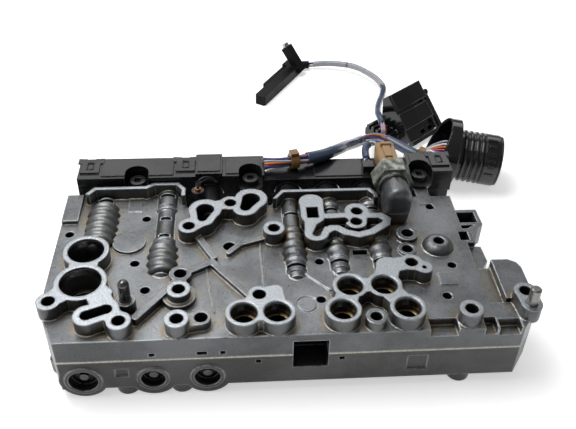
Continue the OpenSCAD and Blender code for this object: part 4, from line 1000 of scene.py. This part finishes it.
@dataclass
class PortDress:
    """Bright bored rims and oily ledges in the round ports.

    The profiles are (radius beyond the bore's, height) corners, the rim's from the boss face
    and the ledge's from its own depth.
    """

    top_z: float = 47.0
    small_r: float = 6.3
    small_depth: float = 7.4
    wide_depth: float = 15.8
    small: tuple[Flat, ...] = ((-23.0, 9.1), (-7.0, 9.1), (30.0, 25.0), (47.2, 25.0),
                               (24.7, 9.1), (56.2, 9.1))
    wide: tuple[Point, ...] = ((-103.2, 33.5, 10.4), (-103.7, 56.7, 9.3))
    rim: tuple[Flat, ...] = ((0.06, -5.4), (0.06, -1.6), (0.8, -0.5), (0.8, 0.05),
                             (-0.06, -1.5), (-0.06, -5.4))
    ledge: tuple[Flat, ...] = ((0.05, -1.0), (0.05, 0.0), (-1.5, -0.25), (-1.5, -1.0))

    def build(self, shop: Shop) -> None:
        """Makes the rims as one piece and the ledges as another.

        Args:
            shop: where the materials come from.
        """
        rims, ledges = Draft("port_rims"), Draft("port_ledges")
        for x, y, r, depth in [*((x, y, self.small_r, self.small_depth) for x, y in self.small),
                               *((x, y, r, self.wide_depth) for x, y, r in self.wide)]:
            foot = place(x, y, self.top_z)
            rims.turned(foot, UPRIGHT, [(r + a, h) for a, h in self.rim], shop.get(BORED))
            ledges.turned(foot, UPRIGHT, [(r + a, h - depth) for a, h in self.ledge],
                          shop.get(OILY))
        rims.build("casting", smooth=False)
        ledges.build("casting", smooth=False)


@dataclass
class BulgeDress:
    """Rounded cast rings over the ringed stretches of the upper valve bulges.

    A run is x, start, end, first ring, valley radius and ridge radius.
    """

    axis_z: float = 36.5
    pitch: float = 6.0
    step: float = 0.6
    front_taper: float = 5.0
    rear_taper: float = 8.0
    end_share: float = 0.68
    sides: int = 40
    runs: tuple[tuple[float, float, float, float, float, float], ...] = (
        (-100.0, 65.2, 103.4, 70.0, 8.3, 9.7), (-65.0, 44.4, 69.6, 52.0, 7.5, 8.9),
        (5.0, 49.2, 80.5, 52.0, 6.7, 7.6), (28.0, 50.8, 67.8, 53.0, 6.5, 7.3),
        (51.0, 50.8, 67.8, 53.0, 6.5, 7.3))

    def build(self, shop: Shop) -> None:
        """Makes one skin for each bulge.

        Args:
            shop: where the materials come from.
        """
        for k, (x, start, end, first, valley, ridge) in enumerate(self.runs):
            skin = Draft(f"bulge_rings_{k + 1}")
            profile = []
            count = round((end - start) / self.step)
            for i in range(count + 1):
                y = start + (end - start) * i / count
                wave = 0.5 + 0.5 * math.cos(2 * math.pi * (y - first) / self.pitch)
                taper = min(1.0, (y - start) / self.front_taper, (end - y) / self.rear_taper)
                full = self.end_share + (1 - self.end_share) * math.sqrt(max(0.0, taper))
                profile.append(((valley + (ridge - valley) * wave) * full, y))
            skin.turned(place(x, 0.0, self.axis_z), (Z_AXIS, X_AXIS, Y_AXIS), profile,
                        shop.get(UPPER), False, self.sides)
            skin.build("casting")


@dataclass
class ElbowDress:
    """Smooth cast skin of the elbow that carries the sensor."""

    x: float = 63.7
    axis_z: float = 54.3
    radius: float = 7.95
    foot_z: float = 39.2
    foot_half: float = 6.6
    front_y: float = 79.9
    rear_y: float = 95.1
    lean_height: float = 4.75
    lean_back: float = 3.2
    corner_r: float = 4.4
    corner_share: float = 0.8
    corner_steps: int = 7
    flare: float = 1.6
    foot_steps: int = 8
    dome_steps: int = 12
    dome_turn: float = 6.6

    def build(self, shop: Shop) -> None:
        """Makes the skin from rounded outlines, one above the other.

        Args:
            shop: where the materials come from.
        """
        levels = []
        for i in range(self.foot_steps + 1):
            t = i / self.foot_steps
            levels.append((self.foot_z + (self.axis_z - self.foot_z) * t,
                           self.foot_half + (self.radius - self.foot_half)
                           * min(1.0, self.flare * t)))
        for i in range(1, self.dome_steps + 1):
            a = math.radians(self.dome_turn * i)
            levels.append((self.axis_z + self.radius * math.sin(a), self.radius * math.cos(a)))
        lean = self.axis_z + self.radius - self.lean_height
        skin = Draft("elbow_skin")
        skin.rings([self._outline(z, half, (z - lean) / self.lean_height) for z, half in levels],
                   shop.get(ELBOW))
        skin.build("casting")

    def _outline(self, z: float, half: float, rise: float) -> list[Vector]:
        """A rounded rectangle at one height, whose front leans back as the top comes near.

        Args:
            z: the height.
            half: half its width.
            rise: how far the height is into the leaning part, from 0 to 1.

        Returns:
            Its points, counterclockwise.
        """
        lean = 1 - math.sqrt(max(0.0, 1 - max(0.0, rise) ** 2))
        front = self.front_y + self.lean_back * lean
        r = min(self.corner_r, self.corner_share * half)
        ring = []
        for k, (sx, sy) in enumerate(((1, 1), (-1, 1), (-1, -1), (1, -1))):
            cy = (self.rear_y - r) if sy > 0 else (front + r)
            for j in range(self.corner_steps + 1):
                a = math.radians(90 * (k + j / self.corner_steps))
                ring.append(place(self.x + sx * (half - r) + r * math.cos(a),
                                  cy + r * math.sin(a), z))
        return ring


@dataclass
class HoodWires:
    """Loose wires from the rear tie up into the hood of the round connector."""

    colours: tuple[Wire, ...] = (Wire.WHITE, Wire.BLUE, Wire.RED, Wire.ORANGE, Wire.WHITE,
                                 Wire.GREY)
    start: Point = (103.4, 188.6, 12.6)
    end: Point = (127.0, 176.4, 19.0)
    wire_r: float = 0.7

    def build(self, shop: Shop) -> None:
        """Makes the wires as one piece, each with its own share of the spread.

        Args:
            shop: where the materials come from.
        """
        draft = Draft("hood_wires")
        (x0, y0, z0), (x1, y1, z1) = self.start, self.end
        for k, colour in enumerate(self.colours):
            u = k / (len(self.colours) - 1) - 0.5
            route = [(x0, y0 + 2.2 * u, z0),
                     (x0 + 4.5, y0 - 2.0 + 3.5 * u, z0 + 4.2 + 2.0 * abs(u)),
                     (x0 + 9.5, y0 - 5.0 + 6.0 * u, z0 + 7.2 + 5.0 * u),
                     (x1 - 8.0, y1 + 3.6 + 7.0 * u, z1 + 3.0 + 8.0 * u),
                     (x1, y1 + 8.0 * u, z1 + 9.0 * u)]
            draft.tube(Path(route).points, self.wire_r * MM, shop.wire(colour))
        draft.build("sleeve")


@dataclass
class SensorDress:
    """Sealing ring behind the elbow, and the latch and teeth of the sensor's plug.

    A block is its width, length, place along y, height and chamfer.
    """

    axis: Point = (63.7, 95.2, 54.3)
    ring_r: float = 7.7
    cord_r: float = 1.1
    ring_steps: int = 48
    ring_sides: int = 10
    plug_top: float = 59.8
    sunk: float = 0.05
    latch: tuple[tuple[float, float, float, float, float], ...] = (
        (4.4, 11.0, 122.5, 1.3, 0.4), (6.4, 2.4, 129.4, 2.2, 0.5))
    tooth: tuple[float, float, float, float, float] = (1.9, 3.2, 114.2, 1.0, 0.35)
    tooth_x: tuple[float, ...] = (-3.6, 0.0, 3.6)

    def build(self, shop: Shop) -> None:
        """Makes the ring, and the latch with its teeth.

        Args:
            shop: where the materials come from.
        """
        ring = Draft("sensor_seal")
        middle = place(*self.axis)
        ring.tube([middle + self.ring_r * MM * (math.cos(t) * X_AXIS + math.sin(t) * Z_AXIS)
                   for t in [*around(self.ring_steps), 2 * math.pi]],
                  self.cord_r * MM, shop.get(RUBBER), self.ring_sides)
        ring.build("black_plastic")
        latch = Draft("plug_latch")
        base = place(self.axis[0], 0.0, self.plug_top - self.sunk)
        for x, (width, length, y, height, chamfer) in [
                *((0.0, block) for block in self.latch), *((x, self.tooth) for x in self.tooth_x)]:
            latch.prism(base, UPRIGHT, rectangle(width, length, x, y), height, chamfer,
                        shop.get(TAN))
        latch.build("tan_plastic", smooth=False)


@dataclass
class RailDress:
    """Prongs and frames at the rail's latches, skirts between the solenoids, the probe's wires."""

    latch_x: tuple[float, ...] = (-110.5, -55.0, 96.5)
    skirt_x: tuple[Flat, ...] = ((-116.0, -107.0), (-93.0, -72.0), (-59.0, -44.0), (-38.0, -1.0),
                                 (10.5, 22.5), (33.5, 45.5), (56.5, 102.0))
    rear_y: float = 135.5
    top_z: float = 50.0
    prong: Flat = (2.6, 5.0)
    prong_x: float = 6.4
    prong_y: float = -2.8
    prong_h: float = 1.0
    prong_sunk: float = 0.1
    prong_chamfer: float = 0.35
    frame: Flat = (3.6, 6.8)
    frame_y: float = -8.5
    frame_rise: float = 1.05
    frame_r: float = 0.36
    skirt_y: float = -19.4
    skirt_z: float = 28.8
    skirt_h: float = 15.0
    skirt_t: float = 1.6
    skirt_chamfer: float = 0.3
    wire_r: float = 0.55
    wire_lift: tuple[float, ...] = (0.0, 1.6)

    def build(self, shop: Shop) -> None:
        """Makes the prongs, the frames, the skirts and the wires.

        Args:
            shop: where the materials come from.
        """
        self._latches(shop)
        self._skirts(shop)
        self._wires(shop)

    def _latches(self, shop: Shop) -> None:
        """Makes the prongs as one piece and the frames as another.

        Args:
            shop: where the materials come from.
        """
        prongs, frames = Draft("latch_prongs"), Draft("latch_frames")
        rail = shop.get(RAIL)
        for x in self.latch_x:
            for side in (-1, 1):
                prongs.prism(place(x, self.rear_y, self.top_z - self.prong_sunk), UPRIGHT,
                             rectangle(*self.prong, self.prong_x * side, self.prong_y),
                             self.prong_h, self.prong_chamfer, rail)
            corners = rectangle(*self.frame, x, self.rear_y + self.frame_y)
            loop = [place(a, b, self.top_z + self.frame_rise)
                    for a, b in [*corners, corners[0], corners[1]]]
            frames.tube(loop, self.frame_r * MM, rail, 6)
        prongs.build("rail", smooth=False)
        frames.build("rail")

    def _skirts(self, shop: Shop) -> None:
        """Makes the skirts as one piece.

        Args:
            shop: where the materials come from.
        """
        skirts = Draft("rail_skirts")
        for x0, x1 in self.skirt_x:
            skirts.prism(place(0.0, self.rear_y + self.skirt_y, 0.0), (Z_AXIS, X_AXIS, Y_AXIS),
                         rectangle(self.skirt_h, x1 - x0, self.skirt_z, (x0 + x1) / 2),
                         self.skirt_t, self.skirt_chamfer, shop.get(RAIL))
        skirts.build("rail", smooth=False)

    def _wires(self, shop: Shop) -> None:
        """Makes the probe's two wires as one piece.

        Args:
            shop: where the materials come from.
        """
        wires = Draft("probe_wires")
        for k, lift in enumerate(self.wire_lift):
            route = [(-47.9 + 0.8 * k, 106.4, 48.2), (-46.5, 108.0 + k, 50.6 + lift),
                     (-42.0, 111.0, 51.2 + lift), (-38.6 + k, 113.4, 49.0),
                     (-37.4 + k, 115.4, 46.0)]
            wires.tube(Path(route).points, self.wire_r * MM, shop.wire(Wire.BLACK))
        wires.build("black_plastic")


@dataclass
class ConnectorDress:
    """Raised keys on the round connector's collar.

    A key is its place along the connector, its angle around it, its width and its length.
    """

    mouth: Point = (116.8, 178.2, 20.4)
    turn: float = -12.0
    dip: float = 4.7
    collar_r: float = 17.4
    sunk: float = 0.15
    key_h: float = 0.85
    key_chamfer: float = 0.3
    keys: tuple[tuple[float, float, float, float], ...] = (
        (28.6, 118, 5.0, 1.6), (28.6, 136, 5.6, 2.2), (28.2, 150, 6.4, 1.4),
        (29.4, 164, 4.2, 2.4), (28.6, 182, 6.0, 1.6), (28.6, 100, 6.0, 1.6))

    def build(self, shop: Shop) -> None:
        """Makes the keys, each set on the collar's curve.

        Args:
            shop: where the materials come from.
        """
        t, d = math.radians(self.turn), math.radians(self.dip)
        along = Vector((math.cos(t) * math.cos(d), math.sin(t) * math.cos(d), -math.sin(d)))
        side = Vector((-math.sin(t), math.cos(t), 0.0))
        up = along.cross(side)
        keys = Draft("collar_keys")
        for s, angle, width, length in self.keys:
            a = math.radians(angle)
            out = math.cos(a) * side + math.sin(a) * up
            spot = place(*self.mouth) + MM * (s * along + (self.collar_r - self.sunk) * out)
            keys.prism(spot, (along, out.cross(along), out), rectangle(width, length),
                       self.key_h, self.key_chamfer, shop.get(BLACK))
        keys.build("black_plastic", smooth=False)


@dataclass(frozen=True)
class Lamp:
    """A soft area lamp: place and aim in datum millimetres, size in metres, power in watts."""

    name: str
    spot: Point
    aim: Point
    size: Flat
    power: float

    def build(self) -> None:
        """Adds the lamp to the scene."""
        data = bpy.data.lights.new(self.name, "AREA")
        data.shape, data.energy = "RECTANGLE", self.power
        data.size, data.size_y = self.size
        lamp = bpy.data.objects.new(self.name, data)
        turn = (place(*self.aim) - place(*self.spot)).to_track_quat("-Z", "Y")
        lamp.matrix_world = Matrix.Translation(place(*self.spot)) @ turn.to_matrix().to_4x4()
        bpy.context.scene.collection.objects.link(lamp)


@dataclass(frozen=True)
class Studio:
    """Camera, floor and soft light."""

    eye: Point = (-23.0, -240.8, 306.93)
    down: float = 38.75
    yaw: float = 4.56
    roll: float = -1.37
    focal_px: float = 751.6
    sensor: float = 36.0
    near: float = 0.01
    floor_half: float = 6.0
    floor_tone: Rgb = (0.86, 0.86, 0.86)
    floor_roughness: float = 0.9
    floor_shine: float = 0.1
    floor_glow: float = 0.52
    world_light: float = 0.2
    lamps: tuple[Lamp, ...] = (
        Lamp("Overhead softbox", (-300, 260, 850), (0, 80, 20), (0.7, 0.5), 7.3),
        Lamp("Rear softbox", (150, 1500, 1000), (0, 60, 30), (1.6, 0.7), 5.5),
        Lamp("Left fill", (-700, -160, 320), (0, 60, 30), (0.4, 0.4), 0.5))

    def build(self) -> None:
        """Sets up the whole studio."""
        self._camera()
        self._floor()
        for lamp in self.lamps:
            lamp.build()
        self._world()
        bpy.context.scene.view_settings.view_transform = "Standard"

    def _camera(self) -> None:
        """The camera fitted to the photograph."""
        e, y, r = (math.radians(a) for a in (self.down, self.yaw, self.roll))
        ahead = Vector((math.sin(y) * math.cos(e), math.cos(y) * math.cos(e), -math.sin(e)))
        right = Vector((math.cos(y), -math.sin(y), 0.0))
        below = ahead.cross(right)
        right, below = (math.cos(r) * right + math.sin(r) * below,
                        math.cos(r) * below - math.sin(r) * right)
        data = bpy.data.cameras.new("Camera")
        data.sensor_width = self.sensor
        data.lens = self.focal_px / IMAGE_WIDTH * data.sensor_width
        data.clip_start = self.near
        camera = bpy.data.objects.new("Camera", data)
        turn = Matrix((right, -below, -ahead)).transposed().to_4x4()
        camera.matrix_world = Matrix.Translation(place(*self.eye)) @ turn
        bpy.context.scene.collection.objects.link(camera)
        bpy.context.scene.camera = camera

    def _floor(self) -> None:
        """A wide pale floor that shows white and keeps the shadow."""
        mesh = bpy.data.meshes.new("floor")
        corners = rectangle(2 * self.floor_half, 2 * self.floor_half)
        mesh.from_pydata([(x, y, 0) for x, y in corners], [], [(0, 1, 2, 3)])
        mat, g, shader = new_material("Pale floor")
        rays = g.add("ShaderNodeLightPath").outputs
        mirrored = g.math("MAXIMUM", rays["Is Glossy Ray"], rays["Is Transmission Ray"])
        seen = g.math("MAXIMUM", rays["Is Camera Ray"], mirrored)
        g.into(shader, {
            "Base Color": self.floor_tone, "Roughness": self.floor_roughness,
            "Specular IOR Level": self.floor_shine, "Emission Color": (1.0, 1.0, 1.0),
            "Emission Strength": g.times(seen, self.floor_glow)})
        mesh.materials.append(mat)
        floor = bpy.data.objects.new("floor", mesh)
        bpy.context.scene.collection.objects.link(floor)
        floor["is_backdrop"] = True

    def _world(self) -> None:
        """Even light from all sides."""
        world = bpy.data.worlds.new("Studio")
        world.use_nodes = True
        back = world.node_tree.nodes["Background"]
        back.inputs["Color"].default_value = (1.0, 1.0, 1.0, 1.0)
        back.inputs["Strength"].default_value = self.world_light
        bpy.context.scene.world = world


class ValveBody:
    """The whole object: finishes on the CAD nodes and the pieces around them."""

    def __init__(self, nodes: dict[str, bpy.types.Object]) -> None:
        """Keeps the CAD nodes and makes the shop."""
        self.nodes = nodes
        self.shop = Shop()

    def build(self) -> None:
        """Makes the pieces and dresses the nodes."""
        for piece in (HoodWires(), *CORDS, ValveSprings(), PortDress(), BulgeDress(),
                      ElbowDress(), SensorDress(), RailDress(), ConnectorDress()):
            piece.build(self.shop)
        for name, obj in self.nodes.items():
            self._dress(name, obj)

    def _dress(self, name: str, obj: bpy.types.Object) -> None:
        """Gives one CAD node its finish, found by its name or by how its name starts.

        Args:
            name: the node's name.
            obj: the node's object.
        """
        starts = (finish for start, finish in PREFIX_FINISH.items() if name.startswith(start))
        finish = NODE_FINISH.get(name) or next(starts, None)
        if finish is None:
            return
        obj.data.materials.clear()
        obj.data.materials.append(self.shop.get(finish))
        LOG.info("node %s: %s", name, finish.name)


def corners() -> list[list[float]]:
    """The shown object's lowest and highest corner as plain lists."""
    return [list(map(float, corner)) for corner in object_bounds()]


def main() -> None:
    """Builds the scene."""
    logging.basicConfig(level=logging.INFO, format="%(message)s")
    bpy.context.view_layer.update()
    Studio().build()
    ValveBody(frame["nodes"]).build()


if __name__ == "__main__":
    main()
